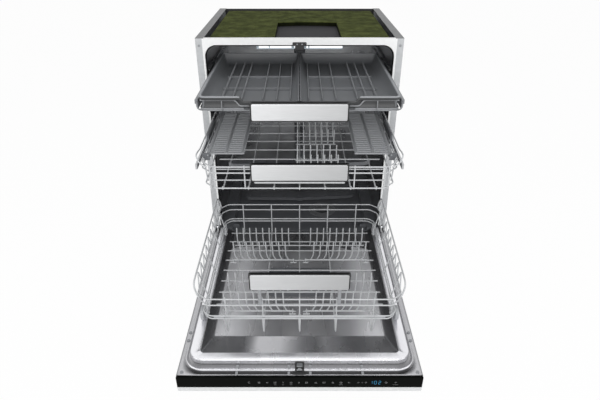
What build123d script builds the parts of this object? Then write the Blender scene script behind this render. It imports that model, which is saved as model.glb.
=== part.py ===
"""A fully integrated dishwasher, door open and its three racks drawn out.

Millimetres, +Z up, X across the machine, the door towards -Y. The origin is at floor
level, midway between the front of the open door and the back of the cabinet.
Depths are given behind the cabinet's front face, so a negative depth lies in front of it.
"""

from build123d import *
from math import cos, radians, sin
import os

os.makedirs("parts", exist_ok=True)

# Driving dimensions of the cabinet
cabinet_width = 598.0
cabinet_height = 815.0
cabinet_depth = 517.0
sheet = 1.0
strip_width = 19.0
strip_bottom = 180.0
top_flange = 24.0
panel_bottom = 60.0
fit_gap = 0.3

# The tub's mouth and the tub behind it
mouth_half = cabinet_width / 2 - 24.5
mouth_top = cabinet_height - 19.0
mouth_radius = 34.0
frame_sheet = 1.2
tub_gap = 2.0
tub_sheet = 1.0
tub_depth = 500.0
ledge_height = 169.7
ledge_width = 40.0
sill_height = 158.0
basin_height = 140.0
floor_sheet = 2.0
tub_wall_foot = 150.0

# The door, lying open on its hinges
door_reach = 638.0
door_half = cabinet_width / 2 - 1.0
door_plane = 160.0
door_underside = 111.0
hinge_depth = 6.5
hinge_height = 168.5
fascia_height = 34.3
fascia_thick = 6.0
rim_half = mouth_half - 4.5
rim_height = 10.0
rim_front = 592.0
rim_width = 23.0
side_rim_width = 20.0
pan_depth = 24.0
pan_half = rim_half - 40.0
pan_front = 480.0
door_tail = 69.0
tail_half = mouth_half - 2.5
tail_height = 16.0

# The racks: how far each is drawn out, and their common depth
rack_depth = 470.0
lower_out = 493.0
upper_out = 325.0
tray_out = 250.0
tray_depth = 450.0
wire = 3.8
stout_wire = 4.6
weld = 0.6
handle_width = 250.0
handle_thick = 12.0
handle_height = 50.0
wheel_radius = 20.0
wheel_thick = 9.0
running_fit = 0.06

# Spray arms
arm_reach = 215.0
arm_thick = 12.0
arm_pin = 5.0
arm_axis_depth = 250.0

half_width = cabinet_width / 2
half_depth = (door_reach + cabinet_depth) / 2
face_y = door_reach - half_depth


def behind(depth):
    """Y of a point this far behind the cabinet's front face."""
    return face_y + depth


def upright(depth):
    """An upright plane across the machine; extruding by a minus amount goes backwards."""
    return Plane.XZ.offset(-behind(depth))


def level(height):
    """A level plane; its local Y is the machine's Y."""
    return Plane.XY.offset(height)


def sideways(x):
    """An upright plane along the machine; its local X is the machine's Y."""
    return Plane.YZ.offset(x)


def keep(part, name):
    """Label a finished piece and write it."""
    part.label = name
    export_step(part, f"parts/{name}.step")


def bent_wire(points, diameter=wire, closed=False):
    """One wire: a six-sided section carried along straight runs and mitred at the bends."""
    with BuildPart() as piece:
        with BuildLine() as route:
            Polyline(*points, close=closed)
        start = Plane(route.line @ 0, z_dir=route.line % 0)
        with BuildSketch(start):
            RegularPolygon(diameter / 2, 6)
        sweep(path=route.line, transition=Transition.RIGHT)
    return piece.part


def ring_points(half, front, back, height, corner):
    """Corners of a level ring round a rack, each corner cut off at 45 degrees."""
    f, b = behind(front), behind(back)
    return [
        (-half + corner, f, height), (half - corner, f, height),
        (half, f + corner, height), (half, b - corner, height),
        (half - corner, b, height), (-half + corner, b, height),
        (-half, b - corner, height), (-half, f + corner, height),
    ]


def mouth_outline(inset, bottom):
    """The tub's mouth drawn in by inset: straight sides under a top with round corners."""
    half, top = mouth_half - inset, mouth_top - inset
    with BuildSketch() as outline:
        with Locations((0, bottom)):
            Rectangle(2 * half, top - bottom, align=(Align.CENTER, Align.MIN))
        fillet(outline.vertices().group_by(Axis.Y)[-1], radius=mouth_radius - inset)
    return outline.sketch


def evenly(first, last, count):
    """Evenly spaced places from first to last."""
    return [first + (last - first) * i / (count - 1) for i in range(count)]


# Cabinet: folded side panels, back panel and the frame round the mouth
def side_panel(side):
    """A folded sheet: front strip below the top, top flange and a return at the back."""
    depth = cabinet_depth - sheet
    with BuildPart() as panel:
        with BuildSketch(level(panel_bottom)):
            with Locations((side * (half_width - sheet / 2), behind(depth / 2))):
                Rectangle(sheet, depth)
            with Locations((side * (half_width - strip_width / 2), behind(depth - sheet / 2))):
                Rectangle(strip_width, sheet)
        extrude(amount=cabinet_height - panel_bottom)
        with BuildSketch(level(strip_bottom)):
            with Locations((side * (half_width - strip_width / 2), behind(sheet / 2))):
                Rectangle(strip_width, sheet)
        extrude(amount=cabinet_height - strip_bottom)
        with BuildSketch(level(cabinet_height)):
            with Locations((side * (half_width - top_flange / 2), behind(depth / 2))):
                Rectangle(top_flange, depth)
        extrude(amount=-sheet)
    return panel.part


keep(side_panel(-1), "left_side_panel")
keep(side_panel(1), "right_side_panel")

back_height = cabinet_height - 153.0
with BuildPart() as back_panel:
    with BuildSketch(upright(cabinet_depth)):
        with Locations((0, cabinet_height - sheet - fit_gap)):
            Rectangle(cabinet_width - 2 * sheet, back_height, align=(Align.CENTER, Align.MAX))
    extrude(amount=sheet)
    with BuildSketch(upright(cabinet_depth - sheet)):
        with Locations((0, cabinet_height - sheet - fit_gap - back_height / 2)):
            Rectangle(2 * mouth_half, back_height - 160.0)
            Rectangle(2 * mouth_half - 30.0, back_height - 190.0, mode=Mode.SUBTRACT)
    extrude(amount=2.0)
keep(back_panel.part, "back_panel")

mouth_hole = mouth_outline(0, strip_bottom - 1)
frame_half = half_width - strip_width - 0.1
top_half = half_width - top_flange - 0.1
with BuildPart() as mouth_frame:
    with BuildSketch(upright(0)):
        with Locations((0, strip_bottom)):
            Rectangle(
                2 * frame_half, cabinet_height - sheet - 0.1 - strip_bottom,
                align=(Align.CENTER, Align.MIN),
            )
            Rectangle(2 * top_half, cabinet_height - strip_bottom, align=(Align.CENTER, Align.MIN))
        add(mouth_hole, mode=Mode.SUBTRACT)
    extrude(amount=-frame_sheet)
    with BuildSketch(level(cabinet_height)):
        with Locations((0, behind(0))):
            Rectangle(2 * top_half, 10.0, align=(Align.CENTER, Align.MIN))
        with Locations(*[(share * mouth_half, behind(7)) for share in (-0.75, -0.55, -0.24, 0.24)]):
            Rectangle(16, 4, mode=Mode.SUBTRACT)
    extrude(amount=-sheet)
keep(mouth_frame.part, "mouth_frame")

seal_width = 3.7
seal_outer = mouth_outline(0.1, strip_bottom)
seal_inner = mouth_outline(0.1 + seal_width, strip_bottom - 1)
with BuildPart() as door_seal:
    with BuildSketch(upright(0.4)):
        add(seal_outer)
        add(seal_inner, mode=Mode.SUBTRACT)
    extrude(amount=-13.0)
keep(door_seal.part, "door_seal")

# Tub: one wrapped sheet with a back wall, on a moulded floor with a basin and two ledges
tub_half = mouth_half + tub_gap
tub_top = mouth_top + tub_gap
tub_front = frame_sheet
tub_back = tub_front + tub_depth
tub_inside = mouth_outline(-tub_gap, tub_wall_foot - 1)
tub_outside = mouth_outline(-tub_gap - tub_sheet, tub_wall_foot)
with BuildPart() as tub_shell:
    with BuildSketch(upright(tub_front)):
        add(tub_outside)
    extrude(amount=-(tub_depth + tub_sheet))
    with BuildSketch(upright(tub_front)):
        add(tub_inside)
    extrude(amount=-tub_depth, mode=Mode.SUBTRACT)
keep(tub_shell.part, "tub_shell")

filter_x, filter_depth, filter_radius = 86.0, 170.0, 42.0
sump_radius = 60.0
basin_half = tub_half - ledge_width
basin_front, basin_back = 20.0, tub_back - 16.0
floor_half = tub_half - 0.2
with BuildPart() as tub_floor:
    floor_length = tub_depth - 0.5
    with BuildSketch(level(basin_height - floor_sheet)):
        with Locations((0, behind(tub_front + floor_length / 2))):
            Rectangle(2 * floor_half, floor_length)
    extrude(amount=ledge_height - basin_height + floor_sheet)
    # The front sill lies lower than the ledges on which the wheels run.
    with BuildSketch(level(sill_height)):
        with Locations((0, behind(0))):
            Rectangle(2 * basin_half, basin_front + 1, align=(Align.CENTER, Align.MIN))
    extrude(amount=ledge_height, mode=Mode.SUBTRACT)
    with BuildSketch(level(basin_height)):
        with Locations((0, behind((basin_front + basin_back) / 2))):
            RectangleRounded(2 * basin_half, basin_back - basin_front, 30)
    extrude(amount=ledge_height, mode=Mode.SUBTRACT)
    # Hollow under each ledge and under the sill
    with BuildSketch(level(basin_height - floor_sheet)):
        with Locations(
            (-(basin_half + floor_half) / 2, behind(tub_front + floor_length / 2)),
            ((basin_half + floor_half) / 2, behind(tub_front + floor_length / 2)),
        ):
            Rectangle(floor_half - basin_half - 2 * floor_sheet, floor_length - 2 * floor_sheet)
    extrude(amount=ledge_height - basin_height, mode=Mode.SUBTRACT)
    with Locations((filter_x, behind(filter_depth), basin_height)):
        Hole(filter_radius + 4)
    with Locations((0, behind(arm_axis_depth), basin_height)):
        Cylinder(14, 7, align=(Align.CENTER, Align.CENTER, Align.MIN))
        Cylinder(arm_pin, 22, align=(Align.CENTER, Align.CENTER, Align.MIN))
keep(tub_floor.part, "tub_floor")

felt_half, felt_front, felt_back, felt_thick = mouth_half - 10.5, 11.0, 482.0, 14.0
tub_roof = tub_top + tub_sheet
cut_left, cut_right, cut_depth = -72.0, 122.0, 266.0
with BuildPart() as felt_mat:
    with BuildSketch(level(tub_roof + 0.2)) as felt_plan:
        with Locations((0, behind((felt_front + felt_back) / 2))):
            RectangleRounded(2 * felt_half, felt_back - felt_front, 12)
        with BuildLine():
            arch = ThreePointArc(
                (cut_left, behind(cut_depth - 12)),
                ((cut_left + cut_right) / 2, behind(cut_depth)),
                (cut_right, behind(cut_depth - 12)),
            )
            Polyline(arch @ 1, (cut_right, behind(0)), (cut_left, behind(0)), arch @ 0)
        make_face(mode=Mode.SUBTRACT)
    extrude(amount=felt_thick)
keep(felt_mat.part, "felt_mat")

strike_half, strike_top, strike_bottom = 20.0, cabinet_height - 11.0, mouth_top - 13.0
with BuildPart() as door_strike:
    with BuildSketch(upright(0)):
        with Locations((0, strike_top)):
            Rectangle(2 * strike_half, strike_top - mouth_top + 2, align=(Align.CENTER, Align.MAX))
        with Locations((0, mouth_top)):
            Rectangle(26, mouth_top - strike_bottom, align=(Align.CENTER, Align.MAX))
    extrude(amount=2.4)
    with Locations((0, behind(-2.0), strike_bottom + 5)):
        Box(12, 12, 4, align=(Align.CENTER, Align.MIN, Align.CENTER), mode=Mode.ADD)
    chamfer(door_strike.edges().filter_by(Axis.Y).group_by(Axis.Z)[-1], length=1.5)
keep(door_strike.part, "door_strike")

light_half, light_depth = 125.0, 12.0
with BuildPart() as tub_light:
    with BuildSketch(sideways(-light_half)):
        with BuildLine():
            Polyline(
                (behind(15), tub_top - 0.1), (behind(15), tub_top - 12),
                (behind(17), tub_top - 17), (behind(15 + light_depth), tub_top - 17),
                (behind(20 + light_depth), tub_top - 0.1), close=True,
            )
        make_face()
    extrude(amount=2 * light_half)
keep(tub_light.part, "tub_light")

with BuildPart() as panel_screws:
    for height in (strip_bottom + 25, cabinet_height - 315, cabinet_height - 21):
        for side in (-1, 1):
            with BuildSketch(upright(0)):
                with Locations((side * (half_width - 10), height)):
                    RegularPolygon(4, 8)
            extrude(amount=1.6)
keep(panel_screws.part, "panel_screws")


# Fixed rails of the upper rack and of the cutlery tray, screwed to the tub's sides
rail_inner, rail_outer = tub_half - 8.5, tub_half - 0.2


def fixed_rails(height, tall):
    """A pair of C sections with their open sides inwards, from just behind the seal."""
    lip, wall = 2.0, 1.2
    with BuildPart() as rails:
        with BuildSketch(upright(18)):
            for side in (-1, 1):
                with Locations((side * (rail_outer + rail_inner) / 2, height)):
                    Rectangle(rail_outer - rail_inner, tall)
                with Locations((side * (rail_outer - wall + rail_inner) / 2, height)):
                    Rectangle(rail_outer - wall - rail_inner + 0.01, tall - 2 * wall, mode=Mode.SUBTRACT)
                for end in (-1, 1):
                    with Locations((side * (rail_inner + wall / 2), height + end * (tall - lip) / 2)):
                        Rectangle(wall, lip)
        extrude(amount=-465)
    return rails.part


upper_rail_z, upper_rail_tall = 560.0, 26.0
tray_rail_z, tray_rail_tall = mouth_top - 87.0, 22.0
keep(fixed_rails(upper_rail_z, upper_rail_tall), "upper_rails")
keep(fixed_rails(tray_rail_z, tray_rail_tall), "tray_rails")

# Water way up the back of the tub and along its ceiling
duct_half, duct_thick = 21.0, 14.0
duct_foot = ledge_height + 0.1
port_height = 485.0
with BuildPart() as feed_duct:
    with BuildSketch(level(duct_foot)):
        with Locations((0, behind(tub_back - 0.1))):
            RectangleRounded(2 * duct_half, 2 * duct_thick, 6)
            Rectangle(3 * duct_half, 2 * duct_thick, align=(Align.CENTER, Align.MIN), mode=Mode.SUBTRACT)
    extrude(amount=tub_top - 0.2 - duct_foot)
    with BuildSketch(level(tub_top - 0.2)):
        with Locations((0, behind(tub_back - 8))):
            Rectangle(30, tub_back - 8 - arm_axis_depth + 16, align=(Align.CENTER, Align.MAX))
    extrude(amount=-11)
    with Locations((0, behind(arm_axis_depth), tub_top - 11.2)):
        Cylinder(arm_pin, 20, align=(Align.CENTER, Align.CENTER, Align.MAX))
    # The port that the upper rack's pipe meets when the rack is in
    with BuildSketch(upright(tub_back - duct_thick)):
        with Locations((0, port_height)):
            RegularPolygon(15, 16)
            RegularPolygon(11, 16, mode=Mode.SUBTRACT)
    extrude(amount=5)
keep(feed_duct.part, "feed_duct")


# Spray arms
def spray_arm(centre_y, underside, up):
    """A hub and two tapering blades, each blade swept back, with a row of nozzles."""
    with BuildPart() as arm:
        with BuildSketch(level(underside)) as plan:
            with Locations((0, centre_y)):
                Circle(27)
            for turn in (0, 180):
                c, s = cos(radians(turn)), sin(radians(turn))
                outline = [(10, -22), (arm_reach - 20, -6), (arm_reach, 6), (arm_reach - 14, 20), (10, 22)]
                with BuildLine():
                    Polyline(*[(x * c - y * s, centre_y + x * s + y * c) for x, y in outline], close=True)
                make_face()
        extrude(amount=arm_thick)
        face = level(underside + (arm_thick if up else 0))
        with BuildSketch(face):
            for reach in (60, 105, 150, 190):
                with Locations((reach, centre_y + 4), (-reach, centre_y - 4)):
                    RegularPolygon(5, 6)
        extrude(amount=1.6 if up else -1.6)
        with Locations((0, centre_y, underside)):
            Hole(arm_pin + running_fit, depth=60)
    return arm.part


lower_arm_z = basin_height + 8
upper_arm_z = tub_top - 11.2 - 0.6 - arm_thick
keep(spray_arm(behind(arm_axis_depth), lower_arm_z, True), "lower_spray_arm")
keep(spray_arm(behind(arm_axis_depth), upper_arm_z, False), "top_spray_arm")

# Sump, filter, pumps and ballast in the base
base_front, base_back, base_low, base_wall = 95.0, 505.0, 45.0, 3.0
union_x, drain_pump_x = half_width - 109.0, half_width - 99.0
with BuildPart() as base_tray:
    with BuildSketch(level(base_low)) as base_plan:
        with Locations((0, behind((base_front + base_back) / 2))):
            RectangleRounded(2 * (half_width - sheet - fit_gap), base_back - base_front, 8)
    extrude(amount=basin_height - floor_sheet - base_low)
    with BuildSketch(level(base_low + base_wall)):
        with Locations((0, behind((base_front + base_back) / 2))):
            Rectangle(2 * (half_width - sheet - fit_gap - base_wall), base_back - base_front - 2 * base_wall)
    extrude(amount=basin_height, mode=Mode.SUBTRACT)
    with Locations(*[(side * union_x, behind(base_back - base_wall / 2), 92) for side in (-1, 1)]):
        Box(44, base_wall + 2, 44, mode=Mode.SUBTRACT)
keep(base_tray.part, "base_tray")

with BuildPart() as sump:
    with BuildSketch(sideways(filter_x)) as sump_half_section:
        with BuildLine():
            Polyline(
                (behind(filter_depth), 72), (behind(filter_depth) + 50, 72),
                (behind(filter_depth) + 50, 120), (behind(filter_depth) + sump_radius, 132),
                (behind(filter_depth) + sump_radius, 137.9), (behind(filter_depth) + 47, 137.9),
                (behind(filter_depth) + 47, 76), (behind(filter_depth), 76), close=True,
            )
        make_face()
    revolve(axis=Axis((filter_x, behind(filter_depth), 0), (0, 0, 1)))
keep(sump.part, "sump")

with BuildPart() as filter_cup:
    with BuildSketch(level(80)):
        with Locations((filter_x, behind(filter_depth))):
            RegularPolygon(filter_radius - 6, 16)
            RegularPolygon(filter_radius - 8, 16, mode=Mode.SUBTRACT)
    extrude(amount=basin_height + 1.4 - 80)
    with BuildSketch(level(basin_height + 0.3)):
        with Locations((filter_x, behind(filter_depth))):
            RegularPolygon(filter_radius + 10, 24)
            RegularPolygon(filter_radius - 14, 16, mode=Mode.SUBTRACT)
    extrude(amount=2)
    with Locations((filter_x, behind(filter_depth), basin_height + 4.2)):
        Box(64, 5, 6)
keep(filter_cup.part, "filter_cup")

with BuildPart() as wash_pump:
    with BuildSketch(upright(300)):
        with Locations((-60, 92)):
            RegularPolygon(43, 16)
    extrude(amount=-120)
    with BuildSketch(upright(300)):
        with Locations((-60, 92)):
            RegularPolygon(34, 16)
    extrude(amount=40)
    with Locations((-60, behind(350), 50.5)):
        Box(60, 70, 5)
keep(wash_pump.part, "wash_pump")

with BuildPart() as drain_pump:
    with BuildSketch(upright(250)):
        with Locations((drain_pump_x, 82)):
            RegularPolygon(30, 12)
    extrude(amount=-70)
    with Locations((drain_pump_x, behind(285), 50.5)):
        Box(44, 50, 5)
keep(drain_pump.part, "drain_pump")

spigot_z = 92.0
with BuildPart() as hose_unions:
    for x, radius, bore in ((-union_x, 13.2, 7.0), (union_x, 9.5, 6.5)):
        with Locations((x, behind(base_back - 27), spigot_z)):
            Box(40, 52, 40)
        with Locations((x, behind(base_back - 27), base_low + base_wall)):
            Box(30, 40, 30, align=(Align.CENTER, Align.CENTER, Align.MIN))
        with BuildSketch(upright(base_back - 1)):
            with Locations((x, spigot_z)):
                Circle(radius)
        extrude(amount=-13)
        with BuildSketch(upright(base_back + 12)):
            with Locations((x, spigot_z)):
                Circle(bore)
        extrude(amount=30, mode=Mode.SUBTRACT)
keep(hose_unions.part, "hose_unions")

with BuildPart() as ballast:
    with Locations((0, behind(465), base_low + base_wall + 0.3)):
        Box(300, 60, 40, align=(Align.CENTER, Align.CENTER, Align.MIN))
    chamfer(ballast.edges().group_by(Axis.Z)[-1], length=4)
keep(ballast.part, "ballast")


with BuildPart() as levelling_feet:
    for side, depth in ((-1, 120), (1, 120), (-1, 480), (1, 480)):
        spot = (side * (half_width - 37), behind(depth))
        for radius, low, high, count in ((20, 0, 7, 16), (11, 7, 17, 6), (7, 17, base_low - 0.1, 8)):
            with BuildSketch(level(low)):
                with Locations(spot):
                    RegularPolygon(radius, count)
            extrude(amount=high - low)
keep(levelling_feet.part, "levelling_feet")

# Door: folded outer panel, pressed inner liner, fascia, latch, dispenser and hinges
liner_half = door_half - 1.0
liner_front = -door_reach + fascia_thick + 0.5
liner_back = -6.0
screw_x, screw_front, screw_back = door_half - 63.0, 560.0, 160.0
with BuildPart() as door_panel:
    with BuildSketch(level(door_underside)):
        with Locations((0, behind(-door_reach + 1))):
            Rectangle(2 * door_half, door_reach - 1 + liner_back, align=(Align.CENTER, Align.MIN))
    extrude(amount=door_plane - 0.1 - door_underside)
    with BuildSketch(level(door_underside)):
        with Locations((0, behind(liner_back - 1))):
            Rectangle(2 * tail_half, door_tail - liner_back + 1, align=(Align.CENTER, Align.MIN))
    extrude(amount=tail_height)
    with BuildSketch(level(door_underside + 0.8)):
        with Locations((0, behind(-door_reach + 2))):
            Rectangle(2 * (door_half - 0.8), door_reach + liner_back - 1, align=(Align.CENTER, Align.MIN))
    extrude(amount=door_plane, mode=Mode.SUBTRACT)
    with BuildSketch(level(door_underside + 0.8)):
        with Locations((0, behind(liner_back - 2))):
            Rectangle(2 * (tail_half - 0.8), door_tail - liner_back + 1.2, align=(Align.CENTER, Align.MIN))
    extrude(amount=tail_height - 1.6, mode=Mode.SUBTRACT)
    # The front edge is low, and the fascia stands on it.
    with BuildSketch(level(door_plane - fascia_height - 1.3)):
        with Locations((0, behind(-door_reach))):
            Rectangle(2 * door_half + 1, fascia_thick + 0.4, align=(Align.CENTER, Align.MIN))
    extrude(amount=door_plane, mode=Mode.SUBTRACT)
    for depth in (screw_front, screw_back):
        with Locations((-screw_x, behind(-depth), door_underside), (screw_x, behind(-depth), door_underside)):
            Hole(2.5, depth=4)
keep(door_panel.part, "door_panel")


def liner_outline(half, front, radius):
    """A rounded outline on the liner, open at the hinge end."""
    with BuildSketch() as outline:
        with Locations((0, behind(liner_back))):
            Rectangle(2 * half, front + liner_back, align=(Align.CENTER, Align.MAX))
        fillet(outline.vertices().group_by(Axis.Y)[0], radius=radius)
    return outline.sketch


rim_outside = liner_outline(rim_half, rim_front, 34)
groove_outside = liner_outline(rim_half + 8, 611.6, 44)
ridge_outside = liner_outline(rim_half + 11, 617.5, 47)
outer_groove_outside = liner_outline(rim_half + 15, 630.0, 52)
latch_half = 11.0
with BuildPart() as door_liner:
    with BuildSketch(level(130)):
        with Locations((0, behind(liner_front))):
            Rectangle(2 * liner_half, liner_back - liner_front, align=(Align.CENTER, Align.MIN))
    extrude(amount=door_plane - 130)
    with BuildSketch(level(door_plane)):
        add(outer_groove_outside)
        add(ridge_outside, mode=Mode.SUBTRACT)
    extrude(amount=-7, mode=Mode.SUBTRACT)
    with BuildSketch(level(door_plane)):
        add(groove_outside)
        add(rim_outside, mode=Mode.SUBTRACT)
    extrude(amount=-7, mode=Mode.SUBTRACT)
    with BuildSketch(level(door_plane)):
        add(ridge_outside)
        add(groove_outside, mode=Mode.SUBTRACT)
    extrude(amount=2)
    with BuildSketch(level(door_plane)):
        add(rim_outside)
    extrude(amount=rim_height)
    # The pan has a long slope at the front and steep sides. It stays low at the hinge end, where
    # the rack's floor passes over it.
    with BuildSketch(level(door_plane + rim_height)):
        with Locations((0, behind(liner_back + 34))):
            length = rim_front - rim_width + liner_back + 34
            Rectangle(2 * (rim_half - side_rim_width), length, align=(Align.CENTER, Align.MAX))
    with BuildSketch(level(door_plane - pan_depth)):
        with Locations((0, behind(-60))):
            Rectangle(2 * pan_half, pan_front - 60, align=(Align.CENTER, Align.MAX))
    loft(mode=Mode.SUBTRACT)
    bottom = door_liner.faces().sort_by(Axis.Z)[0]
    offset(amount=-1.2, openings=bottom, kind=Kind.INTERSECTION)
    with Locations((0, behind(-611), door_plane)):
        Box(2 * latch_half + 0.6, 37, 60, mode=Mode.SUBTRACT)
    with BuildSketch(level(door_plane)):
        with Locations((0, behind(-door_reach + 0.8))):
            Rectangle(2 * liner_half, fascia_thick + 1, align=(Align.CENTER, Align.MIN))
    extrude(amount=-1.2)
keep(door_liner.part, "door_liner")

with BuildPart() as control_fascia:
    with BuildSketch(upright(-door_reach)):
        with Locations((0, door_plane - 1.3)):
            Rectangle(2 * door_half, fascia_height, align=(Align.CENTER, Align.MAX))
    extrude(amount=-fascia_thick)
    fillet(control_fascia.edges().filter_by(Axis.X).group_by(Axis.Y)[0], radius=1.5)
keep(control_fascia.part, "control_fascia")

with BuildPart() as latch_housing:
    with Locations((0, behind(-611), 141)):
        Box(2 * latch_half, 36, 23, align=(Align.CENTER, Align.CENTER, Align.MIN))
    with Locations((0, behind(-611), 146)):
        Box(13, 28, 30, align=(Align.CENTER, Align.CENTER, Align.MIN), mode=Mode.SUBTRACT)
    with Locations((0, behind(-603), 151)):
        Cylinder(1.5, 2 * latch_half, rotation=(0, 90, 0))
keep(latch_housing.part, "latch_housing")

with BuildPart() as latch_catch:
    with BuildSketch(sideways(-4)):
        with BuildLine():
            Polyline(
                (behind(-603) - 5, 147.5), (behind(-603) + 5, 147.5), (behind(-603) + 5, 156),
                (behind(-603) + 1, 161), (behind(-603) - 10, 161), (behind(-603) - 6, 156), close=True,
            )
        make_face()
        with Locations((behind(-603), 151)):
            Circle(1.5 + running_fit, mode=Mode.SUBTRACT)
    extrude(amount=8)
keep(latch_catch.part, "latch_catch")

pan_floor = door_plane - pan_depth
dispenser_y = behind(-262)
with BuildPart() as dispenser:
    with BuildSketch(level(pan_floor)):
        with Locations((0, dispenser_y)):
            RectangleRounded(190, 120, 14)
    extrude(amount=14)
    with Locations((-42, dispenser_y, pan_floor + 3)):
        Box(70, 60, 20, align=(Align.CENTER, Align.CENTER, Align.MIN), mode=Mode.SUBTRACT)
    with BuildSketch(level(pan_floor + 14)):
        for offset_y in (-36, 36):
            with Locations((-12, dispenser_y + offset_y)):
                Rectangle(160, 3)
    extrude(amount=4)
keep(dispenser.part, "dispenser")

with BuildPart() as dispenser_lid:
    with BuildSketch(level(pan_floor + 14.2)):
        with Locations((-42, dispenser_y)):
            RectangleRounded(80, 68.4, 5)
    extrude(amount=3.4)
    with Locations((-42 + 30, dispenser_y, pan_floor + 17.6)):
        Box(6, 40, 2.4, align=(Align.CENTER, Align.CENTER, Align.MIN))
keep(dispenser_lid.part, "dispenser_lid")

with BuildPart() as rinse_cap:
    with BuildSketch(level(pan_floor + 14.2)):
        with Locations((72, dispenser_y - 15)):
            RegularPolygon(15, 16)
    extrude(amount=5)
    with Locations((72, dispenser_y - 15, pan_floor + 19)):
        Box(26, 4, 4, align=(Align.CENTER, Align.CENTER, Align.MIN))
keep(rinse_cap.part, "rinse_cap")

arm_inner, arm_sheet, hinge_pin = half_width - 15.0, 3.0, 4.0
eye_radius, foot_thick = 8.0, 1.8
hinge_y = behind(hinge_depth)
with BuildPart() as hinge_arms:
    for side in (-1, 1):
        low_x = arm_inner if side > 0 else -arm_inner - arm_sheet
        with BuildSketch(sideways(low_x)):
            # The neck drops to the flange in front of the eye, to pass under the front strip.
            with BuildLine():
                Polyline(
                    (behind(-62), door_plane), (behind(-8), door_plane), (hinge_y, hinge_height - eye_radius),
                    (hinge_y - eye_radius, hinge_height), (behind(-5), door_plane + foot_thick),
                    (behind(-62), door_plane + foot_thick), close=True,
                )
            make_face()
            with Locations((hinge_y, hinge_height)):
                Circle(eye_radius)
                Circle(hinge_pin + running_fit, mode=Mode.SUBTRACT)
        extrude(amount=arm_sheet)
        with BuildSketch(level(door_plane)):
            with Locations((side * (arm_inner + 6), behind(-38))):
                Rectangle(12, 48)
        extrude(amount=foot_thick)
keep(hinge_arms.part, "hinge_arms")

bracket_inner = arm_inner + arm_sheet + 0.4
bracket_reach = 92.0
with BuildPart() as hinge_brackets:
    for side in (-1, 1):
        low_x = bracket_inner if side > 0 else -bracket_inner - arm_sheet
        with BuildSketch(sideways(low_x)):
            with BuildLine():
                Polyline(
                    (hinge_y - 6, hinge_height - 4), (hinge_y + 10, hinge_height - 30),
                    (behind(bracket_reach), hinge_height - 60), (behind(bracket_reach), hinge_height + 6),
                    (hinge_y, hinge_height + eye_radius), close=True,
                )
            make_face()
            with Locations((hinge_y, hinge_height)):
                Circle(eye_radius)
        extrude(amount=arm_sheet)
        plate_half = (half_width - sheet - fit_gap - bracket_inner) / 2
        with BuildSketch(upright(bracket_reach - 3)):
            with Locations((side * (bracket_inner + plate_half), hinge_height - 27)):
                Rectangle(2 * plate_half, 48)
        extrude(amount=-3)
        pin_length = arm_sheet + 3.4
        with Locations((side * (bracket_inner + 1 - pin_length / 2), hinge_y, hinge_height)):
            Cylinder(hinge_pin, pin_length, rotation=(0, 90, 0))
keep(hinge_brackets.part, "hinge_brackets")

with BuildPart() as door_screws:
    for side in (-1, 1):
        with BuildSketch(level(door_plane)):
            places = ((door_half - 12, -622), (door_half - 9, -520), (door_half - 9, -492))
            with Locations(*[(side * x, behind(y)) for x, y in places]):
                RegularPolygon(4.5, 8)
        extrude(amount=1.5)
keep(door_screws.part, "door_screws")


# Handles: a dark frame with a satin plate set into it
def handle_pieces(front, low, hang, name):
    """A rack's handle. Two lugs hang from the frame to the wires that carry it."""
    width, thick, tall = handle_width, handle_thick, handle_height
    front_y = front - thick
    with BuildPart() as bezel:
        with BuildSketch(upright(front)):
            with Locations((0, low)):
                Rectangle(width, tall, align=(Align.CENTER, Align.MIN))
        extrude(amount=thick)
        fillet(bezel.edges().filter_by(Axis.Y).group_by(Axis.Z)[0], radius=4)
        with BuildSketch(upright(front_y)):
            with Locations((0, low + 2)):
                Rectangle(width - 6, tall - 6, align=(Align.CENTER, Align.MIN))
        extrude(amount=-2.5, mode=Mode.SUBTRACT)
        # A finger hollow behind the plate's lower edge
        with BuildSketch(upright(front)):
            with Locations((0, low - 1)):
                Rectangle(width - 40, tall / 2, align=(Align.CENTER, Align.MIN))
        extrude(amount=thick - 5, mode=Mode.SUBTRACT)
        if hang:
            with Locations((-100, behind(front), low + 4), (100, behind(front), low + 4)):
                Box(14, 5, hang + 4, align=(Align.CENTER, Align.MAX, Align.MAX))
    keep(bezel.part, f"{name}_handle_frame")
    with BuildPart() as plate:
        with BuildSketch(upright(front_y + 2.3)):
            with Locations((0, low + 2.3)):
                Rectangle(width - 6.6, tall - 6.6, align=(Align.CENTER, Align.MIN))
        extrude(amount=2.9)
        fillet(plate.edges().filter_by(Axis.X).group_by(Axis.Y)[0], radius=0.8)
    keep(plate.part, f"{name}_handle_plate")


# Lower rack: floor mat, walls, four folding combs, wheels
lower_front, lower_back = -lower_out, -lower_out + rack_depth
lower_corner = 30.0
mat_half = rim_half - 38.0
long_z, leg_z, post_foot = 169.6, 162.2, 176.0
cross_z = long_z + (stout_wire + wire) / 2 - weld - 0.2
long_x = evenly(-mat_half + 42, mat_half - 42, 5)
comb_z, comb_pin, tine_length = 180.0, 2.4, 68.0
comb_in, comb_out_x = 22.0, mat_half - 24.0
fold_rows = (lower_front + 63, lower_front + 293)
fixed_rows = (lower_front + 150, lower_front + 380)
lower_rings = [
    (212.0, rim_half - 25), (221.0, rim_half - 22.5), (257.0, rim_half - 14), (277.0, rim_half - 9),
]
ring_low, ring_low_top, ring_top = 212.0, 221.0, 277.0

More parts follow.
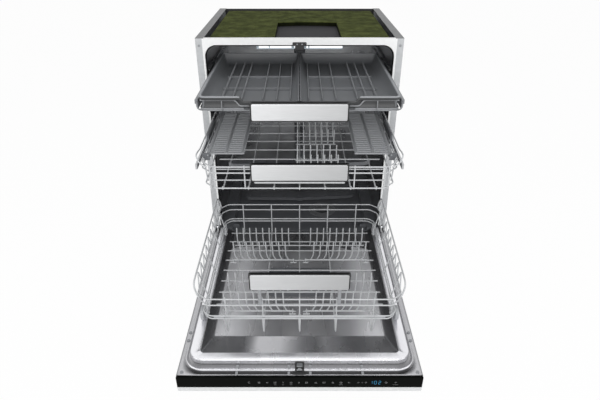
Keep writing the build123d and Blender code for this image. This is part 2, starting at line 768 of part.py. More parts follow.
long_wires = [
    bent_wire(
        [(x, behind(lower_front + 4.3), post_foot - 0.3), (x, behind(lower_front + 4.3), leg_z),
         (x, behind(lower_front + 34), long_z), (x, behind(lower_back - 4.3), long_z),
         (x, behind(lower_back - 4.3), post_foot - 0.3)],
        stout_wire,
    )
    for x in long_x
]
with BuildPart() as lower_floor:
    add(long_wires)
    with BuildSketch(sideways(-mat_half)):
        for y in evenly(lower_front + 46, lower_back - 18, 9):
            with Locations((behind(y), cross_z)):
                RegularPolygon(wire / 2, 6)
    extrude(amount=2 * mat_half)
    for row in fixed_rows:
        with BuildSketch(sideways(-mat_half + 20)):
            with Locations((behind(row), cross_z)):
                RegularPolygon(wire / 2, 6)
        extrude(amount=2 * (mat_half - 20))
        with BuildSketch(level(cross_z)):
            for side in (-1, 1):
                for x in evenly(side * 34, side * (mat_half - 30), 7):
                    with Locations((x, behind(row))):
                        RegularPolygon(wire / 2, 6)
        extrude(amount=tine_length)
    # Ears that carry the folding combs
    for row in fold_rows:
        for x in (-comb_out_x, -comb_in + 3, comb_in - 3, comb_out_x):
            with BuildSketch(sideways(x - 1.5)):
                with Locations((behind(row), comb_z - 2.5)):
                    Rectangle(13, 15)
                with Locations((behind(row), comb_z)):
                    Circle(comb_pin + running_fit, mode=Mode.SUBTRACT)
            extrude(amount=3)
    for row in fold_rows:
        with BuildSketch(sideways(-comb_out_x - 12)):
            for off in (-5, 5):
                with Locations((behind(row + off), cross_z)):
                    RegularPolygon(wire / 2, 6)
        extrude(amount=2 * (comb_out_x + 12))
keep(lower_floor.part, "lower_basket_floor")


def folding_comb(side, row, name):
    """A row of tines on a round rod that turns in the two ears of the floor mat."""
    near, far = comb_in + 2, comb_out_x - 3
    first = side * near if side > 0 else side * far
    with BuildPart() as comb:
        with BuildSketch(sideways(min(side * (comb_in - 4.5), side * (comb_out_x + 2)))):
            with Locations((behind(row), comb_z)):
                Circle(comb_pin)
        extrude(amount=comb_out_x - comb_in + 6.5)
        with BuildSketch(level(comb_z)):
            for x in evenly(side * 36, side * (comb_out_x - 12), 7):
                with Locations((x, behind(row))):
                    RegularPolygon(wire / 2, 6)
        extrude(amount=tine_length)
    keep(comb.part, name)


folding_comb(-1, fold_rows[0], "front_left_comb")
folding_comb(1, fold_rows[0], "front_right_comb")
folding_comb(-1, fold_rows[1], "rear_left_comb")
folding_comb(1, fold_rows[1], "rear_right_comb")


def rack_side(side, low, high, front, back, count):
    """The zigzag wire on a rack's side, between two rails given as (half width, height)."""
    ys = evenly(front + 42, back - 42, count)
    ends = (high, low)
    return bent_wire(
        [(side * (ends[i % 2][0] - wire * 0.8), behind(y), ends[i % 2][1]) for i, y in enumerate(ys)]
    )


def side_rim(side, low, high, front, back):
    """The raised top rail of a rack's side, bent down to the ring at both ends."""
    return bent_wire(
        [(side * low[0], behind(front + 40), low[1]), (side * high[0], behind(front + 52), high[1]),
         (side * high[0], behind(back - 52), high[1]), (side * low[0], behind(back - 40), low[1])],
        stout_wire,
    )


def uprights(low, high, front, back, across, along):
    """Straight wires inside the rings: upright at the front and back, leaning out at the sides."""
    inset = wire * 0.8
    foot, head = low[1] - 1, high[1] + 1
    with BuildPart() as posts:
        with BuildSketch(level(foot)):
            with Locations(*[(x, behind(y)) for x in across for y in (front + inset, back - inset)]):
                RegularPolygon(wire / 2, 6)
        extrude(amount=head - foot)
        for side in (-1, 1):
            for y in along:
                ends = (side * (low[0] - inset), behind(y), foot), (side * (high[0] - inset), behind(y), head)
                add(bent_wire(ends))
    return posts.part


axle_z = door_plane + rim_height + fit_gap + wheel_radius
axle_x, axle_radius = rim_half - 12.0, 4.0
front_axle, rear_axle = lower_front + 46, lower_back - 46
lower_rim = (rim_half - 6.0, 325.0)
lower_wires = [
    bent_wire(ring_points(half, lower_front, lower_back, z, lower_corner), wire, closed=True)
    for z, half in lower_rings
]
lower_top = (lower_rings[-1][1], ring_top)
for side in (-1, 1):
    lower_wires.append(side_rim(side, lower_top, lower_rim, lower_front, lower_back))
    lower_wires.append(rack_side(side, lower_top, lower_rim, lower_front, lower_back, 13))
with BuildPart() as lower_walls:
    add(lower_wires)
    add(uprights(
        (lower_rings[0][1], ring_low), lower_top, lower_front, lower_back,
        long_x, evenly(lower_front + 66, lower_back - 66, 4),
    ))
    # Posts that stand on the ends of the floor's long wires
    with BuildSketch(level(post_foot)):
        for x in long_x:
            with Locations((x, behind(lower_front + wire * 0.8)), (x, behind(lower_back - wire * 0.8))):
                RegularPolygon(wire / 2, 6)
    extrude(amount=ring_low_top + 1 - post_foot)
    # Plates under the rings carry the wheel pins.
    for side in (-1, 1):
        with BuildSketch(sideways(side * (lower_rings[0][1] + 2) - 1.5)):
            for axle in (front_axle, rear_axle):
                with Locations((behind(axle), axle_z)):
                    Circle(9)
                with Locations((behind(axle), axle_z - 2)):
                    Rectangle(12, 32, align=(Align.CENTER, Align.MIN))
        extrude(amount=3)
        for axle in (front_axle, rear_axle):
            with Locations((side * (axle_x - 2), behind(axle), axle_z)):
                Cylinder(axle_radius, 20, rotation=(0, 90, 0))
keep(lower_walls.part, "lower_basket_walls")


def wheel_pair(axle, name):
    """Two rollers on one axle line, each with a shallow dished outer face."""
    with BuildPart() as wheels:
        for side in (-1, 1):
            near, far = side * (axle_x - 2.5), side * (axle_x - 2.5 + wheel_thick)
            with BuildSketch(sideways(min(near, far))):
                with Locations((behind(axle), axle_z)):
                    Circle(wheel_radius)
                    Circle(axle_radius + running_fit, mode=Mode.SUBTRACT)
            extrude(amount=wheel_thick)
            with BuildSketch(sideways(far)):
                with Locations((behind(axle), axle_z)):
                    Circle(wheel_radius - 4)
                    Circle(axle_radius + 3, mode=Mode.SUBTRACT)
            extrude(amount=-side * 2.5, mode=Mode.SUBTRACT)
    keep(wheels.part, name)


wheel_pair(front_axle, "lower_front_wheels")
wheel_pair(rear_axle, "lower_rear_wheels")
handle_pieces(lower_front - wire / 2, 316, 52, "lower")

# Upper rack: floor and walls, cup shelves, feed pipe, spray arm, height adjusters, rails
upper_front, upper_back = -upper_out, -upper_out + rack_depth
upper_half, upper_low_half = mouth_half - 20.7, mouth_half - 34.5
up_low, up_mid, up_top, up_rim = 506.0, 550.0, 567.0, 590.0
upper_floor_z = 499.0
upper_cross_z = upper_floor_z + wire - weld
upper_long = [
    bent_wire(
        [(x, behind(upper_front + 3.9), up_low + 2), (x, behind(upper_front + 3.9), up_low - 3),
         (x, behind(upper_front + 12), upper_floor_z), (x, behind(upper_back - 12), upper_floor_z),
         (x, behind(upper_back - 3.9), up_low - 3), (x, behind(upper_back - 3.9), up_low + 2)]
    )
    for x in evenly(40 - upper_low_half, upper_low_half - 40, 7)
]
with BuildPart() as upper_floor:
    add(upper_long)
    with BuildSketch(sideways(-upper_low_half + 8)):
        for y in evenly(upper_front + 52, upper_back - 26, 7):
            with Locations((behind(y), upper_cross_z)):
                RegularPolygon(wire / 2, 6)
    extrude(amount=2 * (upper_low_half - 8))
    for row in (upper_front + 110, upper_front + 175, upper_front + 290, upper_front + 355):
        with BuildSketch(sideways(-10)):
            with Locations((behind(row), upper_cross_z)):
                RegularPolygon(wire / 2, 6)
        extrude(amount=120)
        with BuildSketch(level(upper_cross_z)):
            for x in evenly(-6, 106, 5):
                with Locations((x, behind(row))):
                    RegularPolygon(wire / 2, 6)
        extrude(amount=48)
keep(upper_floor.part, "upper_basket_floor")

upper_wires = [
    bent_wire(ring_points(upper_half, upper_front, upper_back, z, 30), wire, closed=True)
    for z in (up_mid, up_top)
]
upper_wires.append(
    bent_wire(ring_points(upper_half - 6, upper_front, upper_back, up_low, 30), wire, closed=True)
)
for side in (-1, 1):
    rim = (mouth_half - 14.5, up_rim)
    upper_wires.append(side_rim(side, (upper_half, up_top), rim, upper_front, upper_back))
with BuildPart() as upper_walls:
    add(upper_wires)
    add(uprights(
        (upper_half - 6, up_low), (upper_half, up_top), upper_front, upper_back,
        evenly(50 - upper_low_half, upper_low_half - 50, 6), evenly(upper_front + 46, upper_back - 46, 5),
    ))
keep(upper_walls.part, "upper_basket_walls")

shelf_width, shelf_length, shelf_thick = 98.0, 300.0, 5.0
shelf_hinge_x, shelf_hinge_z = mouth_half - 34.5, 576.0
shelf_front = upper_front + 60
shelf_pin = 2.5


def cup_shelf(side, name):
    """A slotted shelf on a rod along the rack's side; its free edge is notched."""
    inner, outer = shelf_hinge_x - shelf_width, shelf_hinge_x + 5
    with BuildPart() as shelf:
        with BuildSketch(level(shelf_hinge_z - shelf_thick / 2)):
            with Locations((side * (inner + outer) / 2, behind(shelf_front + shelf_length / 2))):
                Rectangle(outer - inner, shelf_length)
            for y in evenly(shelf_front + 24, shelf_front + shelf_length - 24, 8):
                with Locations((side * (inner + 52), behind(y))):
                    SlotOverall(66, 12, mode=Mode.SUBTRACT)
                with Locations((side * inner, behind(y))):
                    Rectangle(18, 14, mode=Mode.SUBTRACT)
        extrude(amount=shelf_thick)
        with BuildSketch(upright(shelf_front - 8)):
            with Locations((side * shelf_hinge_x, shelf_hinge_z)):
                Circle(shelf_pin)
        extrude(amount=-(shelf_length + 16))
    keep(shelf.part, name)


cup_shelf(-1, "left_cup_shelf")
cup_shelf(1, "right_cup_shelf")

with BuildPart() as shelf_hangers:
    for side in (-1, 1):
        for y in (shelf_front - 5, shelf_front + shelf_length + 5):
            with BuildSketch(upright(y - 2)):
                with Locations((side * (shelf_hinge_x + 5.6), shelf_hinge_z - 5)):
                    Rectangle(19, 20)
                with Locations((side * shelf_hinge_x, shelf_hinge_z)):
                    Circle(shelf_pin + running_fit, mode=Mode.SUBTRACT)
            extrude(amount=-4)
            with BuildSketch(level(up_top - 4)):
                with Locations((side * upper_half, behind(y))):
                    Rectangle(wire + 0.4, 10, mode=Mode.ADD)
            extrude(amount=8, mode=Mode.SUBTRACT)
keep(shelf_hangers.part, "shelf_hangers")

feed_z = port_height
middle_arm_y = upper_front + rack_depth / 2
with BuildPart() as feed_pipe:
    with BuildSketch(upright(middle_arm_y - 20)):
        with Locations((0, feed_z)):
            RegularPolygon(11, 12)
    extrude(amount=-(upper_back - 4 - middle_arm_y + 20))
    with Locations((0, behind(middle_arm_y), feed_z - 9)):
        Cylinder(16, 4, align=(Align.CENTER, Align.CENTER, Align.MAX))
        Cylinder(arm_pin, 24, align=(Align.CENTER, Align.CENTER, Align.MAX))
    clip_height = upper_floor_z - wire / 2 - 0.1 - feed_z - 8
    with Locations((0, behind(middle_arm_y + 30), feed_z + 8), (0, behind(upper_back - 40), feed_z + 8)):
        Box(24, 6, clip_height, align=(Align.CENTER, Align.CENTER, Align.MIN))
keep(feed_pipe.part, "upper_feed_pipe")
keep(spray_arm(behind(middle_arm_y), feed_z - 13.6 - arm_thick, True), "middle_spray_arm")

handle_pieces(upper_front - wire / 2, 530, 0, "upper")

slide_inner, slide_outer = mouth_half - 11.9, mouth_half - 7.1
roller_radius, roller_face = 10.4, mouth_half - 0.1
guide_inner = upper_half + wire / 2 + 0.6
with BuildPart() as upper_slides:
    for side in (-1, 1):
        with BuildSketch(upright(upper_front + 15)):
            with Locations((side * (slide_inner + slide_outer) / 2, upper_rail_z)):
                Rectangle(slide_outer - slide_inner, 14)
        extrude(amount=-(rack_depth - 20))
        # Rollers on the bar's rear end run inside the fixed rail.
        low_x = slide_inner if side > 0 else -roller_face
        with BuildSketch(sideways(low_x)):
            for depth in (upper_back - 60, upper_back - 20):
                with Locations((behind(depth), upper_rail_z)):
                    RegularPolygon(roller_radius, 16)
        extrude(amount=roller_face - slide_inner)
keep(upper_slides.part, "upper_slides")

with BuildPart() as height_adjusters:
    for side in (-1, 1):
        with Locations((side * (guide_inner + slide_inner - 0.1) / 2, behind(middle_arm_y), upper_rail_z - 12)):
            Box(slide_inner - 0.1 - guide_inner, 130, 70)
    chamfer(height_adjusters.edges().filter_by(Axis.X), length=6)
keep(height_adjusters.part, "height_adjusters")

# Cutlery tray: two ribbed plastic halves in a wire carrier
tray_front, tray_back = -tray_out, -tray_out + tray_depth
tray_rim, tray_wall, tray_half = tray_rail_z + 17.0, 2.4, mouth_half - 22.5
tray_low = tray_rim - 33


def tray_half_shell(side):
    """One half of the tray: a shallow box with a falling floor, ribs and a dip at the handle."""
    centre = side * (tray_half + 2) / 2
    width, length = tray_half - 2.5, tray_depth - 8
    mid_y = behind((tray_front + tray_back) / 2)
    with BuildPart() as half:
        with BuildSketch(level(tray_low)):
            with Locations((centre, mid_y)):
                RectangleRounded(width, length, 10)
        extrude(amount=tray_rim - tray_low)
        with BuildSketch(level(tray_rim)):
            with Locations((centre, mid_y)):
                Rectangle(width - 2 * tray_wall, length - 2 * tray_wall)
        with BuildSketch(level(tray_low + tray_wall)):
            with Locations((centre - side * 10, mid_y)):
                Rectangle(width - 2 * tray_wall - 44, length - 2 * tray_wall - 20)
        loft(mode=Mode.SUBTRACT)
        with BuildSketch(upright(tray_front)):
            with Locations((side * handle_width / 4, tray_rim)):
                Rectangle(handle_width / 2 + 22, 24, align=(Align.CENTER, Align.CENTER))
        extrude(amount=-14, mode=Mode.SUBTRACT)
        with BuildSketch(level(tray_low + 1)):
            for y in evenly(tray_front + 60, tray_back - 60, 6):
                with Locations((centre - side * 10, behind(y))):
                    Rectangle(width - 2 * tray_wall - 60, 2)
        extrude(amount=14)
        # The floor drains through slots between the ribs.
        with BuildSketch(level(tray_low - 1)):
            for y in evenly(tray_front + 92, tray_back - 92, 5):
                with Locations((centre - side * 10, behind(y))):
                    Rectangle(width - 90, 30)
        extrude(amount=tray_wall + 2, mode=Mode.SUBTRACT)
    return half.part


with BuildPart() as tray_halves:
    add([tray_half_shell(-1), tray_half_shell(1)])
keep(tray_halves.part, "tray_halves")

carrier_z = tray_low - wire / 2 - 0.1
carrier_half = mouth_half - 16.5
runner_x = mouth_half - 12.0
tray_roller_radius = 8.5
carrier_ring = ring_points(carrier_half, tray_front - 4, tray_back, carrier_z, 24)
carrier = [bent_wire(carrier_ring, stout_wire, closed=True)]
for y in (tray_front + 90, tray_front + 225, tray_front + 360):
    carrier.append(
        bent_wire([(-carrier_half, behind(y), carrier_z), (carrier_half, behind(y), carrier_z)])
    )
for side in (-1, 1):
    x = side * 196
    carrier.append(
        bent_wire([(x, behind(tray_front - 4), carrier_z - 1), (x, behind(tray_front - 4), tray_rim - 14),
                   (x, behind(tray_front + 1.5), tray_rim - 14)])
    )
with BuildPart() as tray_carrier:
    add(carrier)
    for side in (-1, 1):
        with BuildSketch(upright(tray_front + 10)):
            with Locations((side * runner_x, tray_rail_z)):
                Rectangle(8, 12)
            with Locations((side * (runner_x - 2.5), (tray_rail_z + carrier_z) / 2)):
                Rectangle(3, tray_rail_z - carrier_z)
        extrude(amount=-(tray_depth - 20))
        # Rollers on the runner's rear end run inside the fixed rail.
        with BuildSketch(sideways(runner_x + 3.5 if side > 0 else -roller_face)):
            for depth in (tray_back - 60, tray_back - 25):
                with Locations((behind(depth), tray_rail_z)):
                    RegularPolygon(tray_roller_radius, 16)
        extrude(amount=roller_face - runner_x - 3.5)
keep(tray_carrier.part, "tray_carrier")
handle_pieces(tray_front - 4 - stout_wire / 2, tray_rim - 62, 0, "tray")
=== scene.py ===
"""A fully integrated dishwasher with its door down and its baskets drawn out, dressed for rendering."""

from math import radians

import bmesh
import bpy
import numpy as np
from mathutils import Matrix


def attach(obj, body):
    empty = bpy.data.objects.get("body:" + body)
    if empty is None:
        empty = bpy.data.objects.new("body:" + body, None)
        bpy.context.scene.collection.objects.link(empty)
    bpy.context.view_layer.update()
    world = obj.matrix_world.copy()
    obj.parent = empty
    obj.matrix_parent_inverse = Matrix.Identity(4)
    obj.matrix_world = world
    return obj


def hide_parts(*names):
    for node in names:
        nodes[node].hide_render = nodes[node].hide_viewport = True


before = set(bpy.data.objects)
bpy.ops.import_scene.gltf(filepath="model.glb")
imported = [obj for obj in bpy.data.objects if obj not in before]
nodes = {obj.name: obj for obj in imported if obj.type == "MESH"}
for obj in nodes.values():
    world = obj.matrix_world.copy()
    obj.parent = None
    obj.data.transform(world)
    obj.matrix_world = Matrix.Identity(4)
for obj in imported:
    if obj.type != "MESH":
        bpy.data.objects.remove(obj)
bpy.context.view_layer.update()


# The viewpoint: 0.3 m above the cabinet's top, midway across, looking 30 degrees down through a
# wide lens. It stands 1.44 m in front of the cabinet.
eye = bpy.data.objects.new("viewpoint", bpy.data.cameras.new("viewpoint"))
bpy.context.collection.objects.link(eye)
eye.location = (0.0, -1.3785, 1.119)
eye.rotation_euler = (radians(90 - 30.2), 0.0, 0.0)
eye.data.sensor_width = 36.0
eye.data.lens = 29.4
eye.data.shift_x = 0.0007
bpy.context.scene.camera = eye
bpy.context.scene.view_settings.view_transform = "Standard"


# The studio: a white sweep that the eye and polished metal both see as white, a pale floor that
# keeps the machine's shadow, and broad soft lamps overhead, in front and at both sides.
def linear(hex_colour):
    """sRGB hex to linear light: ((c + 0.055) / 1.055) to the power 2.4, or c / 12.92 where dark."""
    value = np.array([int(hex_colour[i:i + 2], 16) / 255 for i in (1, 3, 5)])
    bright = ((value + 0.055) / 1.055) ** 2.4
    return (*np.where(value > 0.04045, bright, value / 12.92), 1.0)


def add(tree, kind, inputs=(), stops=(), **settings):
    """Adds a node. settings are its properties, inputs its sockets by name or number: a value is
    set, a socket is linked, and a node is linked by its first output. stops are a colour ramp's
    (position, hex colour) pairs."""
    node = tree.nodes.new("ShaderNode" + kind)
    for key, value in settings.items():
        setattr(node, key, value)
    for key, value in dict(inputs).items():
        if isinstance(value, bpy.types.Node):
            value = value.outputs[0]
        if isinstance(value, bpy.types.NodeSocket):
            tree.links.new(value, node.inputs[key])
        else:
            node.inputs[key].default_value = value
    for i, (position, colour) in enumerate(stops):
        stop = node.color_ramp.elements[i] if i < 2 else node.color_ramp.elements.new(position)
        stop.position, stop.color = position, linear(colour)
    return node


def reckon(tree, operation, a, b):
    """One step of arithmetic on two numbers or sockets."""
    return add(tree, "Math", {0: a, 1: b}, operation=operation)


def where_seen(tree):
    """1 for a ray from the eye, straight, through glass or off polished metal, and 0 for light."""
    ray = add(tree, "LightPath")
    direct = reckon(tree, "MAXIMUM", ray.outputs["Is Camera Ray"], ray.outputs["Is Transmission Ray"])
    return reckon(tree, "MAXIMUM", direct, ray.outputs["Is Glossy Ray"])


studio = bpy.data.worlds.new("studio")
bpy.context.scene.world = studio
studio.use_nodes = True
sky = studio.node_tree
sky.nodes.clear()
level = add(sky, "MapRange", {"Value": where_seen(sky), "To Min": 0.42, "To Max": 1.0})
white = add(sky, "Background", {"Color": linear("#ffffff"), "Strength": level})
add(sky, "OutputWorld", {"Surface": white})

floor_mesh = bpy.data.meshes.new("studio_floor")
floor_mesh.from_pydata([(-6, -4, 0), (6, -4, 0), (6, 8, 0), (-6, 8, 0)], [], [(0, 1, 2, 3)])
studio_floor = bpy.data.objects.new("studio_floor", floor_mesh)
bpy.context.collection.objects.link(studio_floor)
paper = bpy.data.materials.new("matt_white_paper_sweep")
paper.use_nodes = True
tree = paper.node_tree
tree.nodes.clear()
share = reckon(tree, "MULTIPLY", where_seen(tree), 0.965)
matt = add(tree, "BsdfDiffuse", {"Color": linear("#f6f6f6")})
glow = add(tree, "Emission", {"Color": linear("#ffffff"), "Strength": 1.0})
both = add(tree, "MixShader", {0: share, 1: matt, 2: glow})
add(tree, "OutputMaterial", {"Surface": both})
floor_mesh.materials.append(paper)

for name, place, turn, size, watts in (
    ("overhead_softbox", (0.0, -0.9, 2.6), (0, 0, 0), 2.2, 14),
    ("front_softbox", (0.0, -3.0, 1.7), (66, 0, 0), 2.4, 52),
    ("left_softbox", (-2.4, -1.4, 1.3), (80, 0, -58), 1.6, 13),
    ("right_softbox", (2.4, -1.4, 1.3), (80, 0, 58), 1.6, 13),
):
    lamp = bpy.data.lights.new(name, "AREA")
    lamp.size, lamp.energy = size, watts
    holder = bpy.data.objects.new(name, lamp)
    holder.location, holder.rotation_euler = place, [radians(a) for a in turn]
    bpy.context.collection.objects.link(holder)


# Side and back panels: folded steel sheet with a light grey coating, left as cut. The coating is
# even and slightly glossy, with the faint orange peel of a coil-coated sheet.
def finish_for(name, colour, roughness, metallic=0.0, others=()):
    """A material called after the real one, with the values that hold all over it. others are
    further sockets of its shader and their values."""
    material = bpy.data.materials.new(name)
    material.use_nodes = True
    shader = material.node_tree.nodes["Principled BSDF"]
    values = {"Base Color": linear(colour), "Roughness": roughness, "Metallic": metallic}
    values.update(others)
    for socket, value in values.items():
        shader.inputs[socket].default_value = value
    return material, material.node_tree, shader


def grained(tree, shader, grain_mm, height_mm, stretch=(1, 1, 1), rough=None, tint=None):
    """Noise of that grain size bumps the surface. rough = (low, high) and tint = (dark, light)
    spread the roughness and the colour between those ends with the same noise."""
    scale = [1000.0 / (grain_mm * s) for s in stretch]
    fitted = add(tree, "Mapping", {"Vector": add(tree, "TexCoord").outputs["Object"], "Scale": scale})
    noise = add(tree, "TexNoise", {"Vector": fitted, "Scale": 1.0, "Detail": 3.0})
    bump = add(tree, "Bump", {"Height": noise, "Distance": height_mm / 1000, "Strength": 0.6})
    tree.links.new(bump.outputs[0], shader.inputs["Normal"])
    if rough:
        spread = add(tree, "MapRange", {"Value": noise, "From Min": 0.3, "From Max": 0.7,
                                        "To Min": rough[0], "To Max": rough[1]})
        tree.links.new(spread.outputs[0], shader.inputs["Roughness"])
    if tint:
        ramp = add(tree, "ValToRGB", {"Fac": noise}, stops=((0.3, tint[0]), (0.7, tint[1])))
        tree.links.new(ramp.outputs[0], shader.inputs["Base Color"])


def place_in(tree):
    """The surface's own X, Y and Z in metres."""
    return add(tree, "SeparateXYZ", {0: add(tree, "TexCoord").outputs["Object"]}).outputs


def gradient(tree, axis, start, end, low, high):
    """A value that runs from low at `start` metres on an axis to high at `end`, and holds outside."""
    return add(tree, "MapRange", {"Value": place_in(tree)[axis], "From Min": start, "From Max": end,
                                  "To Min": low, "To Max": high})


def shaded(tree, shader, factor):
    """Multiplies the finish's own colour by a factor that changes over the piece."""
    base = shader.inputs["Base Color"]
    own = base.links[0].from_socket if base.links else base.default_value[:3]
    scaled = add(tree, "VectorMath", {0: own, "Scale": factor}, operation="SCALE")
    tree.links.new(scaled.outputs[0], base)


def dress(material, *names):
    """Gives the nodes that are shown as they are their finish."""
    for name in names:
        nodes[name].data.materials.clear()
        nodes[name].data.materials.append(material)


coated, tree, shader = finish_for("coil_coated_steel", "#b1b3b5", 0.4, 0.4)
grained(tree, shader, 9.0, 0.01, rough=(0.36, 0.44), tint=("#adafb1", "#b6b8ba"))
# Painted shade: the folded top edges, above about 814 mm, are darkened to a quarter of the coating's grey,
# for the darker light they reflect from above.
shaded(tree, shader, gradient(tree, "Z", 0.8142, 0.8146, 1.0, 0.25))
dress(coated, "left_side_panel", "right_side_panel")
back_sheet, tree, shader = finish_for("black_coated_back_sheet", "#1b1b1d", 0.6)
grained(tree, shader, 5.0, 0.02, rough=(0.5, 0.68))
dress(back_sheet, "back_panel")


# The frame round the mouth: one pressed sheet, bright white, with its inner edge rolled back
# towards the tub and slots in its top flange.
enamelled, tree, shader = finish_for("white_coated_pressing", "#e6e7e7", 0.3)
grained(tree, shader, 12.0, 0.005, rough=(0.28, 0.34), tint=("#e3e4e4", "#e9eaea"))
dress(enamelled, "mouth_frame")


def grid_faces(rows, columns, wrap_rows=False, wrap_columns=False):
    """Cell (i, j) of a grid is the face through points (i, j), (i+1, j), (i+1, j+1), (i, j+1);
    the last row or column meets the first where the surface closes on itself."""
    i = np.arange(rows if wrap_rows else rows - 1)[:, None]
    j = np.arange(columns if wrap_columns else columns - 1)[None, :]
    far_i, far_j = (i + 1) % rows, (j + 1) % columns
    corners = (i * columns + j, far_i * columns + j, far_i * columns + far_j, i * columns + far_j)
    return np.stack(np.broadcast_arrays(*corners), -1).reshape(-1, 4)


def shell(rings, closed=False):
    """A row of rings, each joined to the next. closed joins the last ring to the first; otherwise
    a pole at the middle of each end ring closes the end."""
    rows, columns, _ = rings.shape
    quads = grid_faces(rows, columns, wrap_rows=closed, wrap_columns=True)
    if closed:
        return rings.reshape(-1, 3), quads, np.zeros((0, 3), int)
    j = np.arange(columns)
    k, last = (j + 1) % columns, (rows - 1) * columns
    near = np.stack([np.full(columns, rows * columns), k, j], -1)
    far = np.stack([np.full(columns, rows * columns + 1), last + j, last + k], -1)
    return np.vstack([rings.reshape(-1, 3), rings[[0, -1]].mean(axis=1)]), quads, np.vstack([near, far])


front_face_y = 0.0605


def piece(name, shells, material, body, stands_for=(), sharp=40):
    """One object from closed shells, given in millimetres across, behind the cabinet's front and
    above the floor. Its faces are turned outwards, and edges over `sharp` degrees stay crisp."""
    counts = np.cumsum([0] + [len(s[0]) for s in shells])
    points = np.vstack([s[0] for s in shells]) * 0.001 + (0, front_face_y, 0)
    quads = np.vstack([s[1] + n for s, n in zip(shells, counts)])
    triangles = np.vstack([s[2] + n for s, n in zip(shells, counts)])
    mesh = bpy.data.meshes.new(name)
    mesh.from_pydata(points.tolist(), [], quads.tolist() + triangles.tolist())
    work = bmesh.new()
    work.from_mesh(mesh)
    bmesh.ops.recalc_face_normals(work, faces=work.faces)
    work.to_mesh(mesh)
    work.free()
    mesh.polygons.foreach_set("use_smooth", np.ones(len(mesh.polygons), bool))
    mesh.set_sharp_from_angle(angle=radians(sharp))
    mesh.materials.append(material)
    made = bpy.data.objects.new(name, mesh)
    bpy.context.collection.objects.link(made)
    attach(made, body)
    if stands_for:
        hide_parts(*stands_for)
    return made


mouth_half, mouth_top, mouth_radius, mouth_foot = 274.5, 796.0, 34.0, 180.0


def round_mouth(inset, depth):
    """The mouth's outline drawn in by inset, from the left foot over the top to the right foot:
    straight legs, quarter circles at the corners and a straight top."""
    half, top, r = mouth_half - inset, mouth_top - inset, mouth_radius - inset
    turn = np.linspace(0, np.pi / 2, 13)
    left = np.stack([-half + r - r * np.cos(turn), top - r + r * np.sin(turn)], -1)
    right = np.stack([half - r + r * np.sin(turn), top - r + r * np.cos(turn)], -1)
    line = np.vstack([(-half, mouth_foot), left, right, (half, mouth_foot)])
    return np.stack([line[:, 0], np.full(len(line), depth), line[:, 1]], -1)


def round_the_mouth(section):
    """A closed section, points of (inset, depth), carried along the mouth's outline."""
    return shell(np.stack([round_mouth(*point) for point in section], 1))


bend = np.linspace(0, np.pi, 9)
rolled = [(-0.9 - np.cos(a), 1.2 - 1.5 * np.sin(a)) for a in bend] + [(0.1, 7.0), (-0.5, 7.0)]
piece("mouth_rolled_edge", [round_the_mouth(rolled)], enamelled, "cabinet")


# The door seal: one extruded rubber profile pushed on round the mouth, a soft bulb with a lip.
# The rubber is black and dull, with a faint sheen along the bulb.
def dull_by(level):
    """The socket that sets how strongly a coloured surface mirrors at all, 0.5 for plain plastic."""
    return {"Specular IOR Level": level}


rubber, tree, shader = finish_for("extruded_black_rubber", "#070708", 0.5, others=dull_by(0.25))
grained(tree, shader, 1.2, 0.04, rough=(0.42, 0.6))
turn = np.linspace(0, 2 * np.pi, 18, endpoint=False)
bulb = [(2.0 - 1.75 * np.cos(a), 6.4 + 5.8 * np.sin(a) - 0.6 * np.cos(2 * a)) for a in turn]
piece("seal_bulb", [round_the_mouth(bulb)], rubber, "cabinet", ["door_seal"])


# The felt mat on the roof: 14 mm of pressed mixed fibre that damps the sound, cut out round the
# front of the tub. Its face is mottled green and grey, fuzzy, and slightly lumpy.
felt, tree, shader = finish_for("pressed_mixed_fibre_felt", "#4a5030", 0.95, others=dull_by(0.08))
spot = add(tree, "TexCoord").outputs["Object"]
fleck = add(tree, "TexNoise", {"Vector": spot, "Scale": 700.0, "Detail": 4.0, "Roughness": 0.75})
cloud = add(tree, "TexNoise", {"Vector": spot, "Scale": 26.0, "Detail": 6.0, "Roughness": 0.65})
mix = reckon(tree, "MULTIPLY", reckon(tree, "ADD", fleck, cloud), 0.5)
ramp = add(tree, "ValToRGB", {"Fac": mix}, stops=((0.36, "#23270f"), (0.66, "#666d3e"), (0.5, "#414724")))
tree.links.new(ramp.outputs[0], shader.inputs["Base Color"])
bump = add(tree, "Bump", {"Height": fleck, "Distance": 0.0006, "Strength": 0.7})
tree.links.new(bump.outputs[0], shader.inputs["Normal"])
# Painted shade: its cut edges and rounded rims, below about 811 mm, are darkened as if in shadow.
shaded(tree, shader, gradient(tree, "Z", 0.8095, 0.8115, 0.1, 1.0))

mat_low, mat_high, mat_half, mat_front, mat_back = 799.4, 813.2, 264, 11.0, 482.0
cut_left, cut_right, cut_back = -72.0, 122.0, 266.0
across = np.concatenate([
    np.linspace(-mat_half, cut_left, 50), np.linspace(cut_left + 0.4, cut_right - 0.4, 44),
    np.linspace(cut_right, mat_half, 40),
])
within = (across > cut_left + 0.2) & (across < cut_right - 0.2)
reach = (across - 0.5 * (cut_left + cut_right)) / (0.5 * (cut_right - cut_left))
front_edge = np.where(within, cut_back - 12 * reach ** 2, mat_front)
